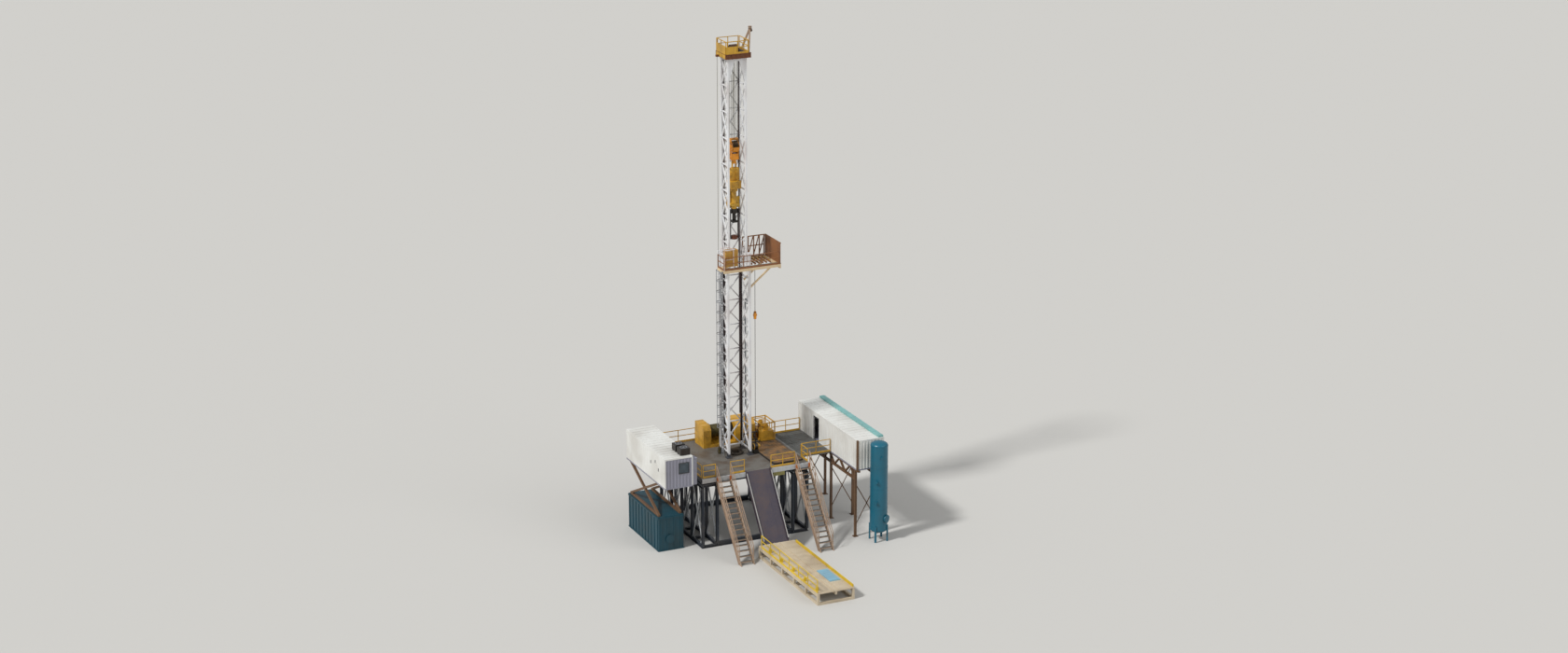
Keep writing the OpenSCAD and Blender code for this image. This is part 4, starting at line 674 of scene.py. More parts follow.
# Head of the gin pole: two hoops shrunk on its cap, and a grooved snatch sheave on a pin between cheek plates
HEAD_R, HEAD_H = 0.070, 0.110
pole_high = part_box("gin_pole")[1]
cap_foot = np.array([pole_high.x - HEAD_R, well.y - 0.12, pole_high.z - HEAD_H])
hub = cap_foot + [0.045, 0, -0.07]
cheek_y = hub[1] + np.array([-0.026, 0.020])
piece("gin_pole_head",
      joined(hoop(cap_foot + [[0, 0, 0.012], [0, 0, 0.080]], UP, HEAD_R - 0.002, HEAD_R + 0.004, 0.016, 32),
             turned(hub - [0, 0.016, 0], (0, 1, 0), [0.02, 0.05, 0.056, 0.045, 0.045, 0.056, 0.05, 0.02],
                    [0.0, 0.0, 0.003, 0.012, 0.020, 0.029, 0.032, 0.032], 32),
             turned(hub - [0, 0.032, 0], (0, 1, 0), [0.012, 0.012], [0.0, 0.064], 16),
             slabs(about(hub[0], 0.03), (cheek_y, cheek_y + 0.006), span(hub[2], -0.03, 0.075))),
      sheave_steel)

# Drilling line: eight falls of greased wire rope between the crown and the block, reeved round their sheaves, with
# the fast line to the drum and the dead line to its anchor.
wire_rope, tree, shader, place = finish("steel wire rope, greased")
# Slanting bands stand for the strands: one every 18 mm on this 16 mm rope, as a six-strand rope's lay gives
lay = add(tree, "ShaderNodeTexWave", {"Vector": place, "Scale": 1000 / 18 / (2 * math.pi), "Distortion": 0.0},
          bands_direction="DIAGONAL")
smears = add(tree, "ShaderNodeTexNoise", {"Vector": place, "Scale": 1000 / 260, "Detail": 3.0})
tint = add(tree, "ShaderNodeMix", {0: smears.outputs[0], 6: linear("#6d633c"), 7: linear("#3c3420")},
           data_type="RGBA")
grooved = add(tree, "ShaderNodeBump", {"Height": lay.outputs["Fac"], "Distance": 0.003, "Strength": 0.8})
tree.links.new(tint.outputs[2], shader.inputs["Base Color"])
tree.links.new(grooved.outputs[0], shader.inputs["Normal"])
shader.inputs["Metallic"].default_value = 0.5
shader.inputs["Roughness"].default_value = 0.45
coat_nodes(wire_rope, "fast_and_dead_lines")
LINE_R, FALLS, SHEAVE_PITCH, SHEAVE_R, GROOVE_R = 0.008, 4, 0.062, 0.215, 0.016
# The falls lie in the sheaves' grooves, 0.3 mm clear of their bottoms
STRAND_Y = SHEAVE_R - GROOVE_R * 0.96 + LINE_R + 0.0003
lines_low, lines_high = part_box("drilling_lines")
foot_x = well.x + np.repeat((np.arange(FALLS) - (FALLS - 1) / 2) * SHEAVE_PITCH, 2)
side = np.tile([-1.0, 1.0], FALLS)
# Each fall has rings at its two ends only, so it is one straight run
falls = carry(spots(foot_x, well.y + side * STRAND_Y, lines_low.z),
              spots(foot_x + side * SHEAVE_PITCH / 2, well.y + side * STRAND_Y, lines_high.z),
              round_outline(LINE_R, 10), (0, 1, 0))
lines = bare_object("drilling_line_falls", falls, wire_rope)
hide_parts("drilling_lines")
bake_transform(lines)

# Travelling block: four sheaves between two cheek plates, with guards round the sheaves and a bail below. Orange
# enamel, chipped at the edges, on heavy plate that through-bolts hold together.
orange_enamel = worn_paint("alkyd enamel on plate, orange", "#e08f1c", "#7d5426", "#5a3218",
                           grime_share=0.4, rust_share=0.14, gloss=0.35, patch_mm=420)
coat_nodes(orange_enamel, "travelling_block")
coat_nodes(sheave_steel, "block_sheave_set")
block_sheaves_low, block_sheaves_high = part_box("block_sheave_set")
block_axis_z = (block_sheaves_low.z + block_sheaves_high.z) / 2
CHEEK_HALF, CHEEK_T = 2 * SHEAVE_PITCH + 0.012, 0.026
bolts = []
for side in (-1, 1):
    face = well.x + side * (CHEEK_HALF + CHEEK_T)
    hub = np.array([face, well.y, block_axis_z])
    bolts.append(turned(hub, (side, 0, 0), [0.09, 0.09, 0.07, 0.05], [-0.001, 0.016, 0.024, 0.026], 32))
    bolts.append(turned(around(hub, 0.185, 10, (1, 0, 0), 0.3), (side, 0, 0), [0.015, 0.015, 0.011],
                        [0.0, 0.012, 0.016], 6))
    lower = spots(face, well.y + np.repeat([-0.09, 0.09], 3), block_axis_z - np.tile([0.32, 0.42, 0.5], 2))
    bolts.append(turned(lower, (side, 0, 0), [0.018, 0.018, 0.013], [0.0, 0.014, 0.018], 6))
piece("block_bolts", joined(*bolts), orange_enamel, body="traveller")
# Guard hoops: thin plates bent round the sheaves between the cheeks, at the front and the back
GUARD_R = 0.237
swing = np.radians(np.linspace(-62, 9, 9))
guards = []
for outward in (-1, 1):
    bow = spots(well.x, well.y + outward * GUARD_R * np.cos(swing),
                block_axis_z - 0.03 + GUARD_R * 0.92 * np.sin(swing))
    guards.append(carry(bow[:-1], bow[1:], flat_outline(2 * CHEEK_HALF - 0.004, 0.006), (0, outward, 0.001)))
piece("block_guards", joined(*guards), orange_enamel, body="traveller")

# Top drive: an electric drive with two upright motors on a cast gear case, hung from the block by its bail and
# held to the mast's rails by the dolly. Ochre enamel under oil and dust, with dark ribs and louvres.
ochre_enamel = worn_paint("alkyd enamel on castings, ochre", "#cf9d30", "#70501f", "#4f3018",
                          grime_share=0.5, rust_share=0.16, gloss=0.4, patch_mm=380)
coat_nodes(ochre_enamel, "top_drive")
yellow_enamel = worn_paint("alkyd enamel on plate, yellow", "#d8ac3a", "#80602c", "#5f3c20",
                           grime_share=0.42, rust_share=0.14, gloss=0.42, patch_mm=420)
coat_nodes(yellow_enamel, "dolly")
GEAR_H, MOTOR_R, MOTOR_H, DRIVE_HALF, FIN_T = 0.30, 0.105, 0.50, 0.235, 0.008
gear_z = floor_z + 11.38
motor_feet = spots(well.x + np.array([-1, 1]) * (DRIVE_HALF - MOTOR_R - 0.008), well.y, gear_z + GEAR_H)
fin_feet = (motor_feet + spots(0, 0, np.linspace(0.05, 0.36, 14))[:, None]).reshape(-1, 3)
case_rib_x = well.x + np.array([-0.2, -0.14, 0.14, 0.2])
case_x = well.x - DRIVE_HALF - 0.006, well.x + DRIVE_HALF + 0.006
piece("top_drive_castings",
      joined(hoop(fin_feet, UP, MOTOR_R - 0.002, MOTOR_R + 0.010, FIN_T, 32),
             turned(motor_feet + [0, 0, MOTOR_H - 0.005], UP, [MOTOR_R - 0.004, MOTOR_R - 0.01, 0.07, 0.03],
                    [0.0, 0.02, 0.045, 0.055], 32),
             turned([well.x, well.y - 0.19, gear_z + 0.15], (0, -1, 0), [0.1, 0.1, 0.08, 0.04],
                    [-0.002, 0.016, 0.024, 0.026], 36),
             bolt_heads(around([well.x, well.y - 0.206, gear_z + 0.15], 0.088, 8, (0, 1, 0), 0.2), (0, -1, 0),
                        0.009, 0.009),
             slabs(case_x, span(well.y, -0.196, 0.186),
                   ([gear_z - 0.004, gear_z + GEAR_H - 0.02], [gear_z + 0.02, gear_z + GEAR_H + 0.004])),
             slabs(about(case_rib_x, 0.006), span(well.y, -0.2, -0.18),
                   span(gear_z, 0.01, 0.29))),
      ochre_enamel, body="traveller")
# Lube lines and the cable trunk on the drive: bent hose along the case and down to the dolly
rubber, tree, shader, place = finish("moulded rubber hose, dusty")
dust = add(tree, "ShaderNodeTexNoise", {"Vector": place, "Scale": 1000 / 120, "Detail": 3.0})
tint = add(tree, "ShaderNodeMix", {0: dust.outputs[0], 6: linear("#1b1a1a"), 7: linear("#4a443c")}, data_type="RGBA")
tree.links.new(tint.outputs[2], shader.inputs["Base Color"])
shader.inputs["Roughness"].default_value = 0.75


def bent_hose(points, radius, steps=6, sides=8):
    """A hose through a few points: each span is a Catmull-Rom cubic cut into even steps, and each ring lies square
    to the mean of the runs that meet there."""
    points = np.asarray(points, float)
    padded = np.vstack([2 * points[0] - points[1], points, 2 * points[-1] - points[-2]])
    t = np.linspace(0, 1, steps, endpoint=False)[:, None]
    spans = [0.5 * (2 * b + (c - a) * t + (2 * a - 5 * b + 4 * c - d) * t ** 2 + (3 * b - a - 3 * c + d) * t ** 3)
             for a, b, c, d in zip(padded[:-3], padded[1:-2], padded[2:-1], padded[3:])]
    route = np.vstack(spans + [points[-1:]])
    runs = np.diff(route, axis=0)
    runs /= np.linalg.norm(runs, axis=1, keepdims=True)
    heading = np.vstack([runs[:1], runs[:-1] + runs[1:], runs[-1:]])
    heading /= np.linalg.norm(heading, axis=1, keepdims=True)
    aside = np.cross(heading, [0.31, 0.17, 0.94])
    aside /= np.linalg.norm(aside, axis=1, keepdims=True)
    section = round_outline(radius, sides)
    rings = route[:, None] + section[None, :, :1] * aside[:, None] \
        + section[None, :, 1:] * np.cross(heading, aside)[:, None]
    rows, step = np.arange(len(route) - 1)[:, None] * sides, np.arange(sides)
    after = (step + 1) % sides
    quads = np.stack([rows + step, rows + after, rows + sides + after, rows + sides + step], axis=-1)
    return rings.reshape(-1, 3), [quads.reshape(-1, 4), np.stack([step[::-1], (len(route) - 1) * sides + step])]


# How far the hoses spread, as a share of their X, then Y and height above the gear case, at four points
HOSE_ROUTE = [[1.0, 0.16, 0.62], [1.1, 0.205, 0.4], [0.9, 0.215, 0.05], [0.7, 0.17, -0.3]]
piece("top_drive_hoses",
      joined(*[bent_hose([[well.x + x * spread, well.y + y, gear_z + z] for spread, y, z in HOSE_ROUTE], 0.012)
               for x in (-0.19, -0.16, 0.17, 0.2)]),
      rubber, body="traveller")

# Pipe handler, links and elevator: forged and machined steel under the drive, dark with grease, that grip and lift
# the pipe.
dark_forging = worn_paint("greased steel forging", "#35322f", "#1f1c1a", "#6a452c", grime_share=0.6,
                          rust_share=0.2, gloss=0.38, metal=0.5, patch_mm=260)
coat_nodes(dark_forging, "pipe_handler", "lifting_links")
elevator_steel = worn_paint("red primer on cast steel, oily", "#73402a", "#33241c", "#8a5030",
                            grime_share=0.6, rust_share=0.3, gloss=0.45, metal=0.2, patch_mm=260)
coat_nodes(elevator_steel, "elevator")
handler_low, handler_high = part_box("pipe_handler")
elevator_low, elevator_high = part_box("elevator")
RING_R = 0.134
piece("pipe_handler_rings",
      joined(turned(spots(well.x, well.y, handler_high.z - np.array([0.19, 0.1, 0.02])), UP,
                    [RING_R - 0.01, RING_R, RING_R, RING_R - 0.01], [0.0, 0.002, 0.018, 0.02], 32, shut=True),
             turned(spots([well.x - 0.06, well.x + 0.06], well.y - 0.09, handler_low.z + 0.045), (0, -1, 0),
                    [0.018, 0.018, 0.014], [-0.002, 0.01, 0.014], 12),
             turned([well.x + 0.08, well.y + 0.05, handler_low.z + 0.09], UP, [0.022, 0.022, 0.012, 0.012],
                    [-0.004, 0.16, 0.16, 0.3], 16)),
      dark_forging, body="traveller")
piece("elevator_trim",
      joined(hoop(spots(well.x, well.y, [elevator_low.z + 0.01, elevator_high.z - 0.03]), UP, 0.118, 0.128, 0.022, 32),
             turned([well.x + 0.02, well.y - 0.128, elevator_low.z + 0.02], UP, [0.014, 0.014], [0.0, 0.11], 12)),
      elevator_steel, body="traveller")

# Service hoist and dead line: a small winch with a finned motor on the floor beside the mast, a greased line up to
# the racking board with an orange hook block on it, and the cast anchor that the dead line is clamped in.
coat_nodes(dark_forging, "hoist_line")
hoist_low, hoist_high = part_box("hoist_line")
hoist_at = (hoist_low + hoist_high) / 2
hook_z, winch_z = floor_z + 5.85, floor_z + 0.31
piece("hoist_hook_block",
      joined(turned([hoist_at.x, hoist_at.y, hook_z - 0.02], UP, [0.03, 0.058, 0.062, 0.062, 0.05, 0.02],
                    [0.0, 0.02, 0.08, 0.26, 0.31, 0.35], 24),
             turned([hoist_at.x - 0.034, hoist_at.y, hook_z + 0.16], (1, 0, 0), [0.05, 0.05], [-0.036, 0.104], 20)),
      orange_enamel)
piece("hoist_winch_ends",
      joined(hoop(spots(hoist_at.x + np.array([-0.098, 0.084]), hoist_at.y, winch_z), (1, 0, 0),
                  0.13, 0.142, 0.014, 40),
             turned([hoist_at.x + 0.095, hoist_at.y, winch_z], (1, 0, 0), [0.07, 0.07, 0.055, 0.02],
                    [0.0, 0.09, 0.105, 0.11], 28)),
      ochre_enamel)
anchor_at = np.array([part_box("fast_and_dead_lines")[0].x + 0.07, well.y + 0.2, floor_z])
piece("dead_line_anchor",
      joined(hoop(anchor_at + [[0, 0, 0.04], [0, 0, 0.21]], UP, 0.068, 0.082, 0.02, 32),
             turned(anchor_at + [0, 0, 0.255], UP, [0.05, 0.045, 0.02, 0.012], [0.0, 0.03, 0.05, 0.09], 24)),
      cast_steel)

# Racking board: a welded frame hung off the right of the mast, its front beam pale from old paint, with grating to
# stand on, rust-brown fingers between which the pipe stands, and brown windbreak panels.
pale_enamel = worn_paint("alkyd enamel on steel, sun-bleached cream", "#dcc49c", "#9a7a58", "#7a4a30",
                         grime_share=0.4, rust_share=0.14)
coat_nodes(pale_enamel, "racking_board")
finger_steel = worn_paint("red oxide primer on box section, rusting", "#84573a", "#5a3c2a", "#96572e",
                          grime_share=0.5, rust_share=0.35, gloss=0.65, patch_mm=400)
coat_nodes(finger_steel, "racking_fingers")
panel_steel = worn_paint("orange-brown enamel on sheet steel", "#8e5c34", "#54392a", "#96592e", grime_share=0.5,
                         rust_share=0.26, gloss=0.55, patch_mm=450)
coat_nodes(panel_steel, "board_panels")
board_low, board_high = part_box("racking_board")
finger_low, finger_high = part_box("racking_fingers")
panel_low, panel_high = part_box("board_panels")
board_z = finger_high.z
BOARD_STRIP, FINGERS, FINGER_W = 0.30, 6, 0.045
piece("board_grating",
      grating((board_low.x + 0.02, board_high.x - 0.065), (board_low.y + 0.065, board_low.y + BOARD_STRIP - 0.01),
              span(board_z, -0.02, 0.012), 0.045, 0.01, 0.02, 0.03),
      galvanised)
# Latches on the fingers: short hinged tongues along each slot, with their air cylinders
finger_pitch = (finger_high.x - finger_low.x - FINGER_W) / (FINGERS - 1)
latch_x = np.repeat(finger_low.x + np.arange(FINGERS) * finger_pitch, 9)
latch_y = np.tile(np.linspace(finger_low.y + 0.08, finger_high.y - 0.06, 9), FINGERS)
piece("finger_latches", slabs((latch_x - 0.004, latch_x + FINGER_W + 0.004), about(latch_y, 0.012),
                              (board_z, board_z + 0.014)), rail_enamel)
# Pressed ribs and an angle frame on the outer face of the end panel, riveted on
ribs_y = np.linspace(panel_low.y + 0.06, panel_high.y - 0.06, 9)
rim_z = np.array([board_z + 0.02, panel_high.z - 0.02])
piece("end_panel_ribs",
      joined(slabs(span(panel_high.x, -0.002, 0.012), about(ribs_y, 0.016),
                   (board_z + 0.03, panel_high.z - 0.03)),
             slabs(span(panel_high.x, -0.002, 0.016), (panel_low.y + 0.012, panel_high.y - 0.012),
                   about(rim_z, 0.02))),
      panel_steel)


# Light tubes of the derrickman's shelter at the board's left end, pinkish white, standing on its rail.
def ring_round(x, y, levels):
    """Starts and ends of the four runs round a rectangle, at each level."""
    corners = np.array([[x[0], y[0]], [x[1], y[0]], [x[1], y[1]], [x[0], y[1]]])
    heights = np.repeat(levels, 4)
    return tuple(spots(*np.tile(ends, (len(levels), 1)).T, heights)
                 for ends in (corners, np.roll(corners, -1, axis=0)))


shelter_enamel = worn_paint("faded enamel on shelter tubes, pinkish white", "#d9ccc8", "#8d7c78", "#7b5240",
                            grime_share=0.4, rust_share=0.14)
shelter_x = board_low.x + 0.03, board_low.x + 0.44
shelter_y = board_low.y + 0.04, board_low.y + 0.40
posts = spots(np.repeat(shelter_x, 2), np.tile(shelter_y, 2), board_z - 0.01)
piece("board_shelter_tubes",
      joined(carry(posts, posts + [0, 0, 0.87], round_outline(0.013, 10), (1, 0, 0)),
             carry(*ring_round(shelter_x, shelter_y, [board_z + 0.86, board_z + 0.45]), round_outline(0.012, 10))),
      shelter_enamel)
# Derrickman's windbreak at the mast's front left: gold sheet on a tube frame, open at its back
gold_enamel = worn_paint("gold enamel on sheet steel", "#bd8c36", "#7a5a2c", "#6e4322", grime_share=0.45,
                         rust_share=0.16)
SHEET_T = 0.003
cage_x, cage_y = span(well.x, -0.80, -0.28), span(board_low.y, 0.09, 0.33)
cage_z = board_z + 0.012, board_z + 0.80
posts = spots(np.repeat(cage_x, 2), np.tile(cage_y, 2), cage_z[0])
sheet_z, side_x = (cage_z[0] + 0.12, cage_z[1] - 0.02), np.array(cage_x)
piece("board_windbreak",
      joined(carry(posts, posts + [0, 0, cage_z[1] - cage_z[0]], round_outline(0.015, 12), (1, 0, 0)),
             carry(*ring_round(cage_x, cage_y, [cage_z[0] + 0.42, cage_z[1]]), round_outline(0.014, 12)),
             slabs((cage_x[0] + 0.01, cage_x[1] - 0.01), about(cage_y[0], SHEET_T), sheet_z),
             slabs(about(side_x, SHEET_T), (cage_y[0] + 0.01, cage_y[1] - 0.01), sheet_z)),
      gold_enamel)

# Drawworks: a hoisting drum between two sheet-metal housings on a skid, with its wraps of wire rope. The housings
# are folded plate in ochre enamel with louvred doors and rounded bolted covers.
coat_nodes(ochre_enamel, "drawworks")
coat_nodes(cast_steel, "drawworks_drum")
works_low, works_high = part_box("drawworks")
drum_low, drum_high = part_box("drawworks_drum")
drum_y, drum_z = (drum_low.y + drum_high.y) / 2, (drum_low.z + drum_high.z) / 2
DRUM_R, WRAP_R = 0.250, 0.009
wrap = round_outline(WRAP_R, 10)
piece("drum_wraps",
      turned(spots(np.arange(well.x - 0.555, well.x + 0.355, 2 * WRAP_R), drum_y, drum_z), (1, 0, 0),
             DRUM_R + WRAP_R * 0.9 + wrap[:, 0], wrap[:, 1], 40, shut=True),
      wire_rope)
works_trim = []
louvre_z = works_low.z + np.linspace(0.2, 0.62, 9)
hatch_z = works_low.z + 0.2, works_low.z + 0.54
for x0, x1 in ((works_low.x, well.x - 0.65), (well.x + 0.45, works_high.x)):
    # Louvres on the back, ribs up the ends, a coaming along the top and a bolted hatch at the front
    mid, half, hatch_w = (x0 + x1) / 2, (x1 - x0) * 0.32, (x1 - x0) * 0.3
    works_trim += [
        slabs(about(mid, half), span(works_high.y, -0.002, 0.014), (louvre_z, louvre_z + 0.022)),
        slabs(([x0 - 0.006, x1 - 0.002], [x0 + 0.002, x1 + 0.006]), span(works_low.y, 0.12, 0.15),
              span(works_low.z, 0.12, 0.6)),
        slabs((x0 - 0.004, x1 + 0.004), span(works_high.y, -0.42, 0.004),
              span(works_high.z, -0.012, 0.01)),
        slabs(about(mid, hatch_w), span(works_low.y, -0.014, 0.002), hatch_z),
        bolt_heads(spots(np.tile([mid - hatch_w + 0.02, mid, mid + hatch_w - 0.02], 2), works_low.y - 0.014,
                     np.repeat([hatch_z[0] + 0.02, hatch_z[1] - 0.02], 3)), (0, -1, 0), 0.009, 0.008)]
piece("drawworks_covers", joined(*works_trim), ochre_enamel)
# Brake bands on the drum's flanges
piece("drum_brake_bands",
      hoop(spots([drum_low.x + 0.05, drum_high.x - 0.09], drum_y, drum_z), (1, 0, 0), 0.312, 0.334, 0.04, 48),
      dark_forging)

# Hydraulic power unit on the floor behind the setback mat: a steel oil tank with two motors in a tube guard frame,
# in ochre enamel with brown stains.
coat_nodes(ochre_enamel, "hydraulic_unit")
unit_low, unit_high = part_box("hydraulic_unit")
unit_x, tank_top = (unit_low.x + unit_high.x) / 2, unit_low.z + 0.42
ribs_y = np.linspace(unit_low.y + 0.1, unit_high.y - 0.1, 7)
fin_y = np.repeat([unit_low.y + 0.22, unit_high.y - 0.22], 8)
piece("hydraulic_unit_fins",
      joined(slabs(span(unit_low.x, 0.03, 0.042), about(ribs_y, 0.008),
                   (unit_low.z + 0.08, tank_top - 0.02)),
             hoop(spots(unit_x, fin_y, tank_top + np.tile(np.linspace(0.03, 0.2, 8), 2)), UP, 0.103, 0.113, FIN_T, 28)),
      ochre_enamel)
piece("hydraulic_unit_hoses",
      joined(*[bent_hose([[unit_x - 0.1, y, tank_top + 0.12], [unit_low.x + 0.06, y + 0.08, tank_top + 0.16],
                          [unit_low.x + 0.02, y + 0.1, tank_top - 0.1],
                          [unit_low.x + 0.02, y + 0.1, unit_low.z + 0.08]], 0.014)
               for y in (unit_low.y + 0.24, unit_high.y - 0.34)]),
      rubber)

# Standpipe manifold behind the setback mat: two headers of thick pipe joined by three risers, each with a cast gate
# valve and a handwheel, on short feet. Forged and cast steel, greased, with rusty wheels.
HEADER_R, HEADER_LENGTH, WHEEL_R, STANDPIPE_OUT = 0.030, 0.66, 0.062, 0.0576
standpipe_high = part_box("standpipe")[1]
pipe_x, pipe_y = standpipe_high.x - STANDPIPE_OUT, standpipe_high.y - STANDPIPE_OUT
manifold_y = works_low.y - 0.20
header_z = floor_z + np.array([0.16, 0.48])
header_end_x = pipe_x + HEADER_LENGTH
riser_x = pipe_x + np.array([0.12, 0.34, 0.56])
saddle_x = np.array([pipe_x + 0.02, header_end_x - 0.06])
valves = spots(riser_x, manifold_y, header_z.mean())
piece("standpipe_manifold",
      joined(carry(spots(pipe_x, [manifold_y, manifold_y, pipe_y], header_z[[0, 1, 1]]),
                   spots([header_end_x, header_end_x, pipe_x], [manifold_y, manifold_y, manifold_y + HEADER_R],
                         header_z[[0, 1, 1]]), round_outline(HEADER_R, 20), (0.3, 0.3, 1)),
             carry(spots(riser_x, manifold_y, header_z[0]), spots(riser_x, manifold_y, header_z[1]),
                   round_outline(HEADER_R - 0.004, 20), (0, 1, 0)),
             turned(valves, UP, [0.050, 0.050, 0.036, 0.052, 0.056, 0.052, 0.036, 0.050, 0.050],
                    [-0.085, -0.070, -0.066, -0.040, 0.0, 0.040, 0.066, 0.070, 0.085], 24),
             turned(valves, (0, -1, 0), [0.040, 0.040, 0.030, 0.012, 0.012], [0.0, 0.075, 0.085, 0.090, 0.150], 20),
             turned(spots(header_end_x - 0.005, manifold_y, header_z), (1, 0, 0), [0.054, 0.054], [0.0, 0.026], 28),
             slabs((saddle_x, saddle_x + 0.04), about(manifold_y, 0.03),
                   (floor_z - 0.001, header_z[0]))),
      cast_steel)
hubs = np.repeat(valves - [0, 0.139, 0], 2, axis=0)
spoke = np.tile([[WHEEL_R - 0.004, 0, 0], [0, 0, WHEEL_R - 0.004]], (3, 1))
piece("manifold_handwheels",
      joined(hoop(valves, (0, -1, 0), WHEEL_R - 0.010, WHEEL_R, 0.010, 32, start=0.134),
             carry(hubs - spoke, hubs + spoke, round_outline(0.004, 8), (0, 1, 0))),
      rusty_steel)

# Doghouse: a container-like cabin of corrugated sheet between corner posts and rails, baked white all round.
# Its ends are lavender grey, which is painted shade on the white faces turned from the key light. Windows and doorways
# have pressed steel frames.
white_enamel = worn_paint("baked enamel on corrugated sheet, white", "#e4e4df", "#a9a195", "#8a6248",
                          grime_share=0.4, rust_share=0.0, gloss=0.4, patch_mm=1300, streak_mm=60)
# Lavender grey is painted shade: the white enamel as it looks on faces turned from the key light and under the houses
lavender_painted_shade = worn_paint("baked white enamel, lavender grey painted shade", "#8d8d9a", "#706b6e", "#7a5a48",
                             rust_share=0.08, gloss=0.4, patch_mm=1300)
frame_enamel = worn_paint("baked enamel on pressed steel frames, charcoal", "#3b3e45", "#5a544e", "#5f3a24",
                          rust_share=0.1)
coat_nodes(white_enamel, "doghouse_side_walls", "right_house_side_walls", "right_house_end_walls")
# The doghouse's ends and the side cabinet get the lavender grey painted shade
coat_nodes(lavender_painted_shade, "doghouse_end_walls", "side_cabinet")
coat_nodes(dark_forging, "roof_units")
POST, HOUSE_SLAB, EDGE_RAIL, FITTING_W, FITTING_D = 0.055, 0.060, 0.05, 0.09, 0.08


def at_corners(low, high, width, depth, inset=0.0):
    """Ranges in X and Y of four equal parts in the corners of a rectangle, each inset from its sides."""
    x = np.repeat([low.x + inset, high.x - inset - width], 2)
    y = np.tile([low.y + inset, high.y - inset - depth], 2)
    return (x, x + width), (y, y + depth)


def framed_slab(node):
    """A house's floor or roof: a panel between four edge rails, with a cast fitting at each corner. The fittings'
    outer faces lie in the planes of the CAD slab, the rails 3 mm inside them."""
    low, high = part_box(node)
    outer_x, outer_y = (low.x + 0.003, high.x - 0.003), (low.y + 0.003, high.y - 0.003)
    inner_x, inner_y = ((ends[0] + EDGE_RAIL, ends[1] - EDGE_RAIL) for ends in (outer_x, outer_y))
    bottom, top = low.z, low.z + HOUSE_SLAB
    return joined(slabs(([outer_x[0], inner_x[1]], [inner_x[0], outer_x[1]]), outer_y, (bottom, top)),
                  slabs(inner_x, ([outer_y[0], inner_y[1]], [inner_y[0], outer_y[1]]), (bottom, top)),
                  slabs(inner_x, inner_y, (bottom + 0.002, top - 0.002)),
                  slabs(*at_corners(low, high, FITTING_W, FITTING_D), (bottom - 0.001, top + 0.001)))


def corner_posts(walls):
    """Square posts in the four corners of a house, 1 mm inside the planes of its walls."""
    low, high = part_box(walls)
    return slabs(*at_corners(low, high, POST, POST, 0.001), (low.z + 0.001, high.z - 0.001))


def opening_frame(wall, run, z, trim, across_x=True):
    """A pressed frame round an opening in a wall that lies across X, or else across Y: two jambs, a sill and a
    head as wide as the trim, standing proud of the wall on both faces."""
    proud = wall[0] - 0.006, wall[1] + 0.006
    runs = [run[0] - trim, run[1], run[0], run[0]], [run[0], run[1] + trim, run[1], run[1]]
    rises = [z[0] - trim, z[0] - trim, z[0] - trim, z[1]], [z[1] + trim, z[1] + trim, z[0], z[1] + trim]
    return slabs(proud, runs, rises) if across_x else slabs(runs, proud, rises)


def roof_ribs(x, y, z, count):
    """Ribs pressed across a roof's sheet, at even steps along it."""
    middles = np.linspace(y[0] + 0.2, y[1] - 0.2, count)
    return slabs(x, about(middles, 0.05), span(z, -0.001, 0.012))


dog_low, dog_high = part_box("doghouse_side_walls")
roof_low, roof_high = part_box("doghouse_roof")
WALL, DOOR_W, DOOR_H, WINDOW_TRIM, DOOR_TRIM = 0.04, 0.45, 1.02, 0.028, 0.03
door_z = floor_z + 0.001, floor_z + DOOR_H
inner_wall, end_window_x = (dog_high.x - WALL, dog_high.x), dog_low.x + 0.62
side_window_y, side_window_z = span(well.y, -2.3, -1.4), span(floor_z, 0.45, 0.85)
mullion_y = np.linspace(*side_window_y, 4)[1:-1]
piece("doghouse_frames",
      joined(opening_frame((dog_low.y, dog_low.y + WALL), (end_window_x, end_window_x + 0.42),
                           span(floor_z, 0.56, 0.98), WINDOW_TRIM, across_x=False),
             opening_frame(inner_wall, side_window_y, side_window_z, WINDOW_TRIM),
             slabs(span(dog_high.x, -0.028, -0.008), about(mullion_y, 0.009), side_window_z),
             opening_frame(inner_wall, (well.y - 0.6, well.y - 0.6 + DOOR_W), door_z, DOOR_TRIM)),
      frame_enamel)
piece("doghouse_roof_panel", framed_slab("doghouse_roof"), white_enamel, ["doghouse_roof"])
# The floor panel's lavender grey is painted shade under the house
piece("doghouse_floor_panel", framed_slab("doghouse_floor"), lavender_painted_shade, ["doghouse_floor"])
piece("doghouse_posts", corner_posts("doghouse_side_walls"), white_enamel)

# Three small louvred vents of dark folded sheet, each in a trough of the doghouse's outer long wall
WAVES, VENT_W, VENT_H, LOUVRES = 26, 0.058, 0.120, 5
vent_y = dog_low.y + np.array([4.5, 6.5, 9.5]) * (dog_high.y - dog_low.y) / WAVES
vent_z = floor_z + np.array([0.52, 0.78, 0.62])
slat_y = np.repeat(vent_y, LOUVRES)
slat_z = np.repeat(vent_z, LOUVRES) + np.tile(np.arange(LOUVRES) * VENT_H / LOUVRES, 3) + 0.006
slat_half = VENT_W / 2 - 0.003
piece("doghouse_vents",
      joined(slabs(span(dog_low.x, 0.005, 0.019), about(vent_y, VENT_W / 2), (vent_z, vent_z + VENT_H)),
             slabs(span(dog_low.x, 0.001, 0.009), about(slat_y, slat_half), (slat_z, slat_z + 0.010))),
      frame_enamel)
piece("doghouse_roof_ribs",
      roof_ribs((roof_low.x + 0.04, roof_high.x - 0.04), (roof_low.y, roof_high.y), roof_high.z, 15),
      white_enamel)

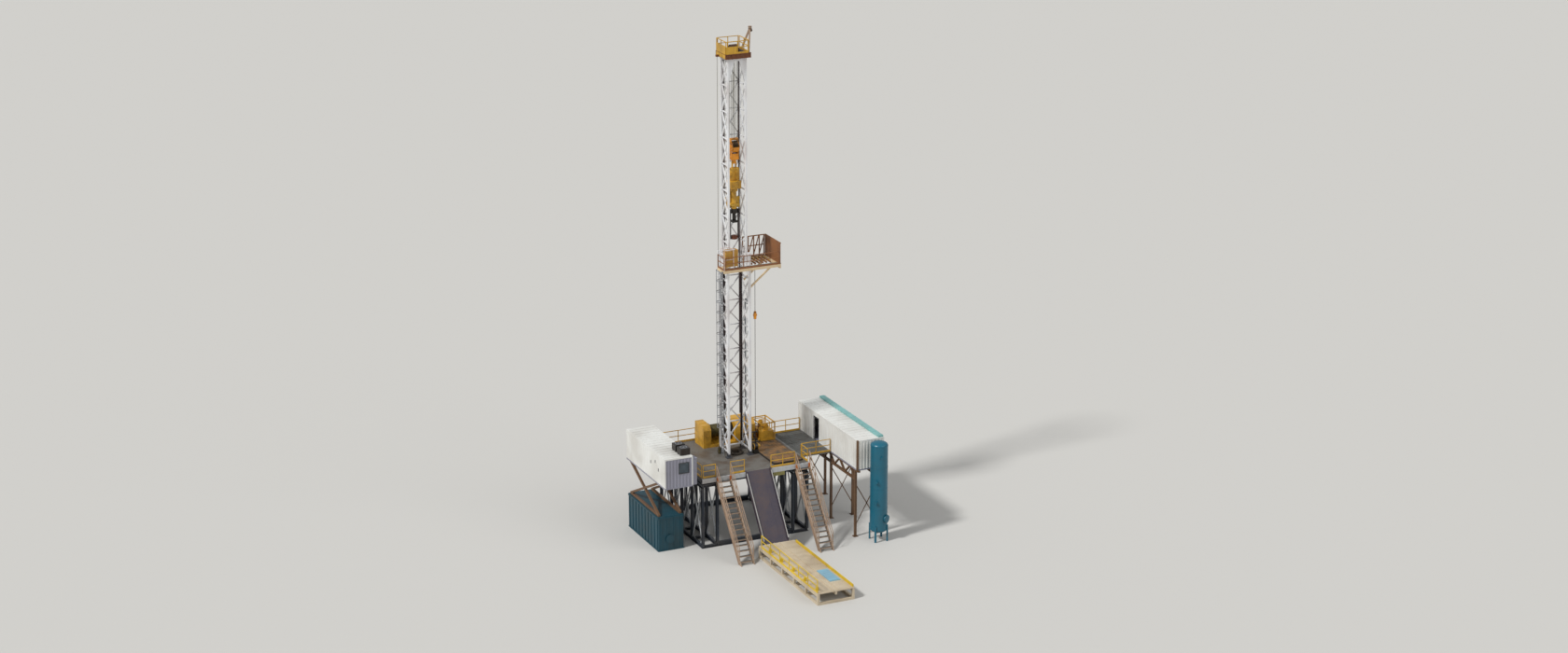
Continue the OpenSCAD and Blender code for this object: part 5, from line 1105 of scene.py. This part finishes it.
# Air conditioners on the roof: fan rings, hubs and blades on the dark units
cooler_low, cooler_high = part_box("roof_units")
fans = spots((cooler_low.x + cooler_high.x) / 2, [cooler_low.y + 0.19, cooler_high.y - 0.19], cooler_high.z)
blade_roots = np.repeat(fans + [0, 0, 0.006], 6, axis=0)
blade_turn = np.tile(np.arange(6) * np.pi / 3, 2)
piece("roof_unit_fans",
      joined(hoop(fans, UP, 0.13, 0.15, 0.018, 32, start=-0.002), turned(fans, UP, [0.035, 0.03], [-0.001, 0.014], 16),
             carry(blade_roots, blade_roots + 0.13 * spots(np.cos(blade_turn), np.sin(blade_turn), 0),
                   flat_outline(0.008, 0.004))),
      grey_enamel)
# Cabinet beside the doghouse: two door panels, each with a handle, in lavender grey as painted shade
cabinet_low, cabinet_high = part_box("side_cabinet")
piece("cabinet_doors",
      joined(slabs((cabinet_low.x + 0.02, cabinet_high.x - 0.03), span(cabinet_low.y, 0.004, 0.014),
                   (cabinet_low.z + np.array([0.06, 0.6]), [cabinet_low.z + 0.56, cabinet_high.z - 0.05])),
             turned(spots(cabinet_high.x - 0.05, cabinet_low.y + 0.006, cabinet_low.z + np.array([0.4, 0.8])),
                    (0, -1, 0), [0.012, 0.012, 0.006], [0, 0.014, 0.018], 12)),
      lavender_painted_shade)

# Window panes: float glass in rubber gaskets, dark against the unlit rooms behind it, with dust on it.
glass, tree, shader, place = finish("float glass, dusty")
dust = add(tree, "ShaderNodeTexNoise", {"Vector": place, "Scale": 1000 / 180, "Detail": 3.0})
tint = add(tree, "ShaderNodeMix", {0: dust.outputs[0], 6: linear("#1d262e"), 7: linear("#4c5a64")}, data_type="RGBA")
haze = add(tree, "ShaderNodeMapRange", {"Value": dust.outputs[0], "To Min": 0.06, "To Max": 0.3})
tree.links.new(tint.outputs[2], shader.inputs["Base Color"])
tree.links.new(haze.outputs[0], shader.inputs["Roughness"])
shader.inputs["IOR"].default_value = 1.52
coat_nodes(glass, "window_panes")

# Water tank under the doghouse: dark teal plate with pressed stiffeners between a top and a bottom band, and a
# bolted hatch at its front end.
teal_enamel = worn_paint("alkyd enamel on tank plate, dark teal", "#0e4250", "#2a3a3a", "#5a3a28",
                         grime_share=0.4, rust_share=0.14)
coat_nodes(teal_enamel, "water_tank_shell", "water_tank_lid")
tank_low, tank_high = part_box("water_tank_shell")
SIDE_RIBS, END_RIBS, RIB_D, RIB_HALF, BAND_H = 10, 4, 0.021, 0.022, 0.05
rib_z = 0.03, tank_high.z - 0.03
band_z = np.repeat([0.0, tank_high.z - BAND_H], 3)
side_rib_x = np.repeat([tank_low.x - 0.02, tank_high.x - 0.001], SIDE_RIBS)
side_rib_y = np.tile(np.linspace(tank_low.y + 0.12, tank_high.y - 0.12, SIDE_RIBS), 2)
end_rib_x = np.tile(np.linspace(tank_low.x + 0.12, tank_high.x - 0.12, END_RIBS), 2)
end_rib_y = np.repeat([tank_low.y - 0.02, tank_high.y - 0.021], END_RIBS)
hatch = np.array([tank_low.x + 0.5, tank_low.y - 0.001, 0.5])
piece("water_tank_stiffeners",
      joined(slabs((side_rib_x, side_rib_x + RIB_D), about(side_rib_y, RIB_HALF), rib_z),
             slabs(about(end_rib_x, RIB_HALF), (end_rib_y, end_rib_y + RIB_D), rib_z),
             slabs((np.tile([tank_low.x - 0.024, tank_high.x - 0.001, tank_low.x], 2),
                    np.tile([tank_low.x + 0.001, tank_high.x + 0.024, tank_high.x], 2)),
                   (np.tile([tank_low.y - 0.024, tank_low.y - 0.024, tank_low.y - 0.025], 2),
                    np.tile([tank_high.y, tank_high.y, tank_low.y + 0.001], 2)), (band_z, band_z + BAND_H)),
             turned(hatch, (0, -1, 0), [0.16, 0.16, 0.19, 0.19, 0.17], [0.0, 0.04, 0.04, 0.055, 0.058], 32),
             bolt_heads(around(hatch - [0, 0.055, 0], 0.172, 12, (0, 1, 0)), (0, -1, 0), 0.009, 0.012)),
      teal_enamel)

# Lattice under the houses: brown rolled posts and trusses, welded, with bolted base plates and slender braces
# across between the two rows of posts on the right.
brown_enamel = worn_paint("brown enamel on rolled steel", "#6b5038", "#4a3a2c", "#80502f", grime_share=0.5,
                          rust_share=0.3, gloss=0.6)
coat_nodes(brown_enamel, "house_supports")
right_low, right_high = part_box("right_house_side_walls")
support_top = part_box("house_supports")[1].z
SUPPORT_POST, PLATE_HALF, KNEE_FOOT_Z, KNEE_HEAD_Z = 0.09, 0.1, 0.5, support_top - 0.7
row_x = np.array([right_low.x + 0.06 + SUPPORT_POST / 2, right_high.x - 0.06 - SUPPORT_POST / 2])
row_y = np.array([right_low.y + 0.3, right_low.y + (right_high.y - right_low.y) * 0.46,
                  right_high.y - 0.3 - SUPPORT_POST]) + SUPPORT_POST / 2
foot_x, foot_y = np.repeat(row_x, 3), np.tile(row_y, 2)
bolts = spots(foot_x, foot_y, 0.016)[:, None] + np.array([[1, 1, 0], [-1, 1, 0], [-1, -1, 0], [1, -1, 0]]) * 0.075
angle = [(-0.02, -0.02), (0.02, -0.02), (0.02, -0.014), (-0.014, -0.014), (-0.014, 0.02), (-0.02, 0.02)]
piece("support_plates_and_knees",
      joined(slabs(about(foot_x, PLATE_HALF), about(foot_y, PLATE_HALF), (0, 0.016)),
             bolt_heads(bolts.reshape(-1, 3), UP, 0.011, 0.014),
             carry(spots(foot_x, foot_y, KNEE_FOOT_Z), spots(np.repeat(row_x[::-1], 3), foot_y, KNEE_HEAD_Z), angle,
                   (0, 1, 0))),
      brown_enamel)

# Right-hand house: a long cabin built as the doghouse is, all white but for its floor panel, whose lavender grey is
# painted shade, with a brown post at its V-door end and a pale teal cable tray along its far roof edge.
piece("right_house_roof_panel", framed_slab("right_house_roof"), white_enamel, ["right_house_roof"])
piece("right_house_floor_panel", framed_slab("right_house_floor"), lavender_painted_shade,
      ["right_house_floor"])
piece("right_house_posts", corner_posts("right_house_side_walls"), white_enamel)
piece("right_house_brown_post",
      slabs(span(right_low.x, -0.008, 0.07), span(right_low.y, -0.008, 0.07),
            (support_top - 0.06, right_high.z + 0.062)), brown_enamel)
right_roof_low, right_roof_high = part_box("right_house_roof")
roof_plate_z = right_high.z + 0.06
TRAY_W = 0.23
piece("right_house_roof_ribs",
      roof_ribs((right_roof_low.x + 0.04, right_roof_high.x - TRAY_W - 0.02), (right_roof_low.y, right_roof_high.y),
                roof_plate_z, 20), white_enamel)
teal_trim = worn_paint("enamel on folded sheet, pale teal", "#7fb5b2", "#6c8480", "#7a5a48", rust_share=0.08)
tray_x = right_roof_high.x - TRAY_W - 0.004, right_roof_high.x - 0.016
tray_y = right_roof_low.y + 0.036, right_roof_high.y - 0.036
tray_top = right_roof_high.z + 0.004
strap_y = np.linspace(tray_y[0] + 0.1, tray_y[1] - 0.1, 12)
piece("right_house_tray",
      joined(slabs(tray_x, tray_y, (roof_plate_z, tray_top)),
             slabs((tray_x[0] - 0.006, tray_x[1] + 0.006), about(strap_y, 0.012),
                   (roof_plate_z, tray_top + 0.006))), teal_trim)
piece("right_house_door_frame",
      opening_frame((right_low.x, right_low.x + WALL), (well.y - 0.3, well.y - 0.3 + DOOR_W), door_z, DOOR_TRIM),
      frame_enamel)

# Separator vessel: rolled and welded plate between dished ends, with weld bands, a manway, nozzles with bolted
# flanges and lifting lugs, in teal epoxy.
vessel_enamel = worn_paint("epoxy enamel on pressure vessel, teal", "#0f6076", "#2c4f58", "#6a4a38",
                           rust_share=0.08, gloss=0.35)
coat_nodes(vessel_enamel, "vessel_shell", "vessel_ends")
ends_low, ends_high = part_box("vessel_ends")
VESSEL_R = (ends_high.x - ends_low.x) / 2
vessel_x, vessel_y = (ends_low.x + ends_high.x) / 2, (ends_low.y + ends_high.y) / 2
FLANGE_T = 0.022
BAND_Z = 0.5, 1.4, 2.3, 3.2, 4.12
# Nozzles: bearing round the axis in degrees, height, flange radius and reach from the shell
NOZZLES = ((-60, 1.0, 0.17, 0.07), (-130, 2.65, 0.07, 0.10), (-130, 1.75, 0.06, 0.10), (-100, 3.7, 0.05, 0.09))
fittings = [turned(spots(vessel_x, vessel_y, BAND_Z), UP,
                   [VESSEL_R - 0.004, VESSEL_R + 0.007, VESSEL_R + 0.007, VESSEL_R - 0.004],
                   [0.0, 0.004, 0.022, 0.026], 64, shut=True)]
for bearing, z, radius, reach in NOZZLES:
    out = np.array([math.cos(math.radians(bearing)), math.sin(math.radians(bearing)), 0.0])
    root = np.array([vessel_x, vessel_y, z]) + out * (VESSEL_R - 0.03)
    fittings.append(turned(root, out, [radius * 0.8, radius * 0.8, radius, radius, radius * 0.9, radius * 0.9],
                           [0.0, reach, reach, reach + FLANGE_T, reach + FLANGE_T, reach + 0.03], 28))
    fittings.append(bolt_heads(around(root + out * (reach + FLANGE_T), radius * 0.86, 8, out, 0.2), out, 0.009,
                               0.012))
piece("vessel_fittings", joined(*fittings), vessel_enamel)

# V-door ramp: dark plate on a box frame down which pipe slides, scuffed bright in two tracks, with a whitish worn
# edge on each kerb and stiffening ribs underneath.
def on_slope(foot, slope, x, along, above):
    """Points by a slope that rises along Y: so far along it from its foot, and so far above it, square to it."""
    return spots(x, foot[1] + slope[1] * along - slope[2] * above, foot[2] + slope[2] * along + slope[1] * above)


ramp_enamel = worn_paint("scuffed dark enamel on ramp plate", "#37313f", "#5a4c46", "#6b4a34", grime_share=0.5,
                         rust_share=0.25, gloss=0.45)
coat_nodes(ramp_enamel, "vdoor_ramp")
worn_edge = worn_paint("bare worn steel edge", "#b4b2ae", "#6c665e", "#6f4a34", grime_share=0.5, rust_share=0.2,
                       metal=0.3)
KERB, RAMP_T, RAMP_RIBS = 0.04, 0.06, 9
catwalk_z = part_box("catwalk_rails")[0].z
ramp_foot = np.array([0.0, ramp_low.y, catwalk_z])
ramp_run = np.array([0.0, ramp_high.y, floor_z]) - ramp_foot
ramp_length = np.linalg.norm(ramp_run)
ramp_slope = ramp_run / ramp_length
edge_x = [ramp_low.x + KERB / 2, ramp_high.x - KERB / 2]
piece("ramp_kerb_edges",
      carry(on_slope(ramp_foot, ramp_slope, edge_x, 0.12, 0.07),
            on_slope(ramp_foot, ramp_slope, edge_x, ramp_length - 0.1, 0.07),
            [(-0.019, -0.004), (0.019, -0.004), (0.019, 0.005), (-0.019, 0.005)]),
      worn_edge)
track_x = (ramp_low.x + ramp_high.x) / 2 + np.array([-0.26, 0.26])
rib_starts = on_slope(ramp_foot, ramp_slope, ramp_low.x + KERB, np.linspace(0.25, ramp_length - 0.25, RAMP_RIBS),
                      -RAMP_T - 0.028)
piece("ramp_strips_and_ribs",
      joined(carry(on_slope(ramp_foot, ramp_slope, track_x, 0.15, 0.0),
                   on_slope(ramp_foot, ramp_slope, track_x, ramp_length - 0.15, 0.0), flat_outline(0.1, 0.008)),
             carry(rib_starts, rib_starts + [ramp_high.x - ramp_low.x - 2 * KERB, 0, 0], flat_outline(0.024, 0.06),
                   (0.0, -ramp_slope[2], ramp_slope[1]))),
      ramp_enamel)

# Stairs: plate stringers in tan enamel with grating treads between them, each with a bright checkered nosing, and
# tube handrails bolted to the stringers. Their heads are orange-brown with rust.
coat_nodes(tan_enamel, "stair_stringers", "stair_handrails")
stringer_low, stringer_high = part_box("stair_stringers")
STAIR_W, TREADS, TREAD_BARS, END_BAR = 0.600, 16, 6, 0.006
going, rise = (floor_low.y - stringer_low.y) / (TREADS + 1), floor_z / (TREADS + 1)
tread_y = floor_low.y - np.arange(1, TREADS + 1) * going
tread_z = floor_z - np.arange(1, TREADS + 1) * rise
tread_front, tread_back = tread_y - going * 0.35, tread_y + going * 0.45
bar_y = (tread_y[:, None] + np.linspace(0.012 - going * 0.35, going * 0.45 - 0.006, TREAD_BARS)).ravel()
bar_z = np.repeat(tread_z, TREAD_BARS)
stair_x = well.x + np.array([-1.85, 2.3 - STAIR_W])
treads, nosings = [], []
for x in stair_x:
    inner = x + 0.024, x + STAIR_W - 0.024
    treads.append(slabs(inner, about(bar_y, 0.004), span(bar_z, -0.052, -0.024)))
    for end_x in (inner[0], inner[1] - END_BAR):
        treads.append(slabs((end_x, end_x + END_BAR), (tread_front, tread_back), span(tread_z, -0.056, -0.022)))
    nosings.append(slabs(inner, span(tread_front, -0.008, 0.014), span(tread_z, -0.05, -0.02)))
piece("stair_treads", joined(*treads), galvanised, ["stair_treads_set"])
piece("stair_nosings", joined(*nosings), tan_enamel)
# Flanges along the stringers' edges, which make each one a channel, and the hooks over the floor beam
stair_head = np.array([0.0, floor_low.y, floor_z])
stair_run = np.array([0.0, stringer_high.y - stringer_low.y, floor_z])
stair_length = np.linalg.norm(stair_run)
stair_slope = stair_run / stair_length
flange_x = np.tile(np.concatenate([stair_x - 0.006, stair_x + STAIR_W + 0.006]), 2)
flange_depth = np.repeat([-0.006, -0.174], 4)
stringer_x = np.concatenate([stair_x + 0.012, stair_x + STAIR_W - 0.012])
piece("stringer_flanges",
      carry(on_slope(stair_head, stair_slope, flange_x, 0.16 - stair_length, flange_depth),
            on_slope(stair_head, stair_slope, flange_x, -0.17, flange_depth), flat_outline(0.048, 0.01)),
      tan_enamel)
hook_enamel = worn_paint("orange enamel on stair hooks, rusting", "#b5662a", "#7c4526", "#6a3820",
                         grime_share=0.5, rust_share=0.35, gloss=0.6)
piece("stair_head_hooks",
      slabs(about(stringer_x, 0.03), span(floor_low.y, -0.13, -0.001),
            span(floor_z, -0.2, -0.02)), hook_enamel)

# Catwalk: a long low table of beige plate on rolled beams, on which pipe is rolled up to the ramp. It has yellow
# rails along one side, a yellow stop along the other, and a pale blue skate plate let into its deck.
beige_enamel = worn_paint("dusty beige enamel on plate", "#c9baa0", "#94826a", "#84603f", grime_share=0.5,
                          rust_share=0.15, gloss=0.6)
bright_yellow = worn_paint("alkyd enamel on steel tube, bright yellow", "#e0bd28", "#8a7030", "#5f3c20",
                           grime_share=0.4, rust_share=0.14)
blue_enamel = worn_paint("enamel on skate plate, pale blue", "#86b4c8", "#7d8488", "#7a5a48", grime_share=0.4,
                         rust_share=0.1)
coat_nodes(beige_enamel, "catwalk")
coat_nodes(bright_yellow, "catwalk_rails")
catwalk_low, catwalk_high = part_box("catwalk")
cat_x = (catwalk_low.x + catwalk_high.x) / 2
seam_y = np.linspace(catwalk_low.y + 0.05, catwalk_high.y - 0.05, 9)
plate_y, plate_z = (seam_y[:-1] + 0.012, seam_y[1:] - 0.012), span(catwalk_z, -0.001, 0.006)
track_x = cat_x + np.array([-0.11, 0.11])
# The trough down the middle, in which the skate runs, lies between two low angles
piece("catwalk_plates",
      joined(slabs((catwalk_low.x + 0.06, cat_x - 0.12), plate_y, plate_z),
             slabs((cat_x + 0.12, catwalk_high.x - 0.08), plate_y, plate_z),
             slabs(about(track_x, 0.014), (catwalk_low.y + 0.03, catwalk_high.y - 0.03),
                   span(catwalk_z, -0.002, 0.028))),
      beige_enamel)
skate_rib_y = well.y - 8.66 + np.arange(6) * 0.19
piece("catwalk_skate_plate",
      joined(slabs(span(cat_x, 0.16, 0.62), span(well.y, -8.7, -7.5), span(catwalk_z, 0.004, 0.045)),
             slabs(span(cat_x, 0.2, 0.58), (skate_rib_y, skate_rib_y + 0.04),
                   span(catwalk_z, 0.044, 0.054))),
      blue_enamel)
# Pipe stops: short yellow posts on the left edge, as used to keep pipe from rolling off
stop_y = np.linspace(catwalk_low.y + 0.3, catwalk_high.y - 0.9, 5)
piece("catwalk_pipe_stops",
      slabs(span(catwalk_low.x, 0.06, 0.16), about(stop_y, 0.05),
            span(catwalk_z, -0.001, 0.16)), bright_yellow)
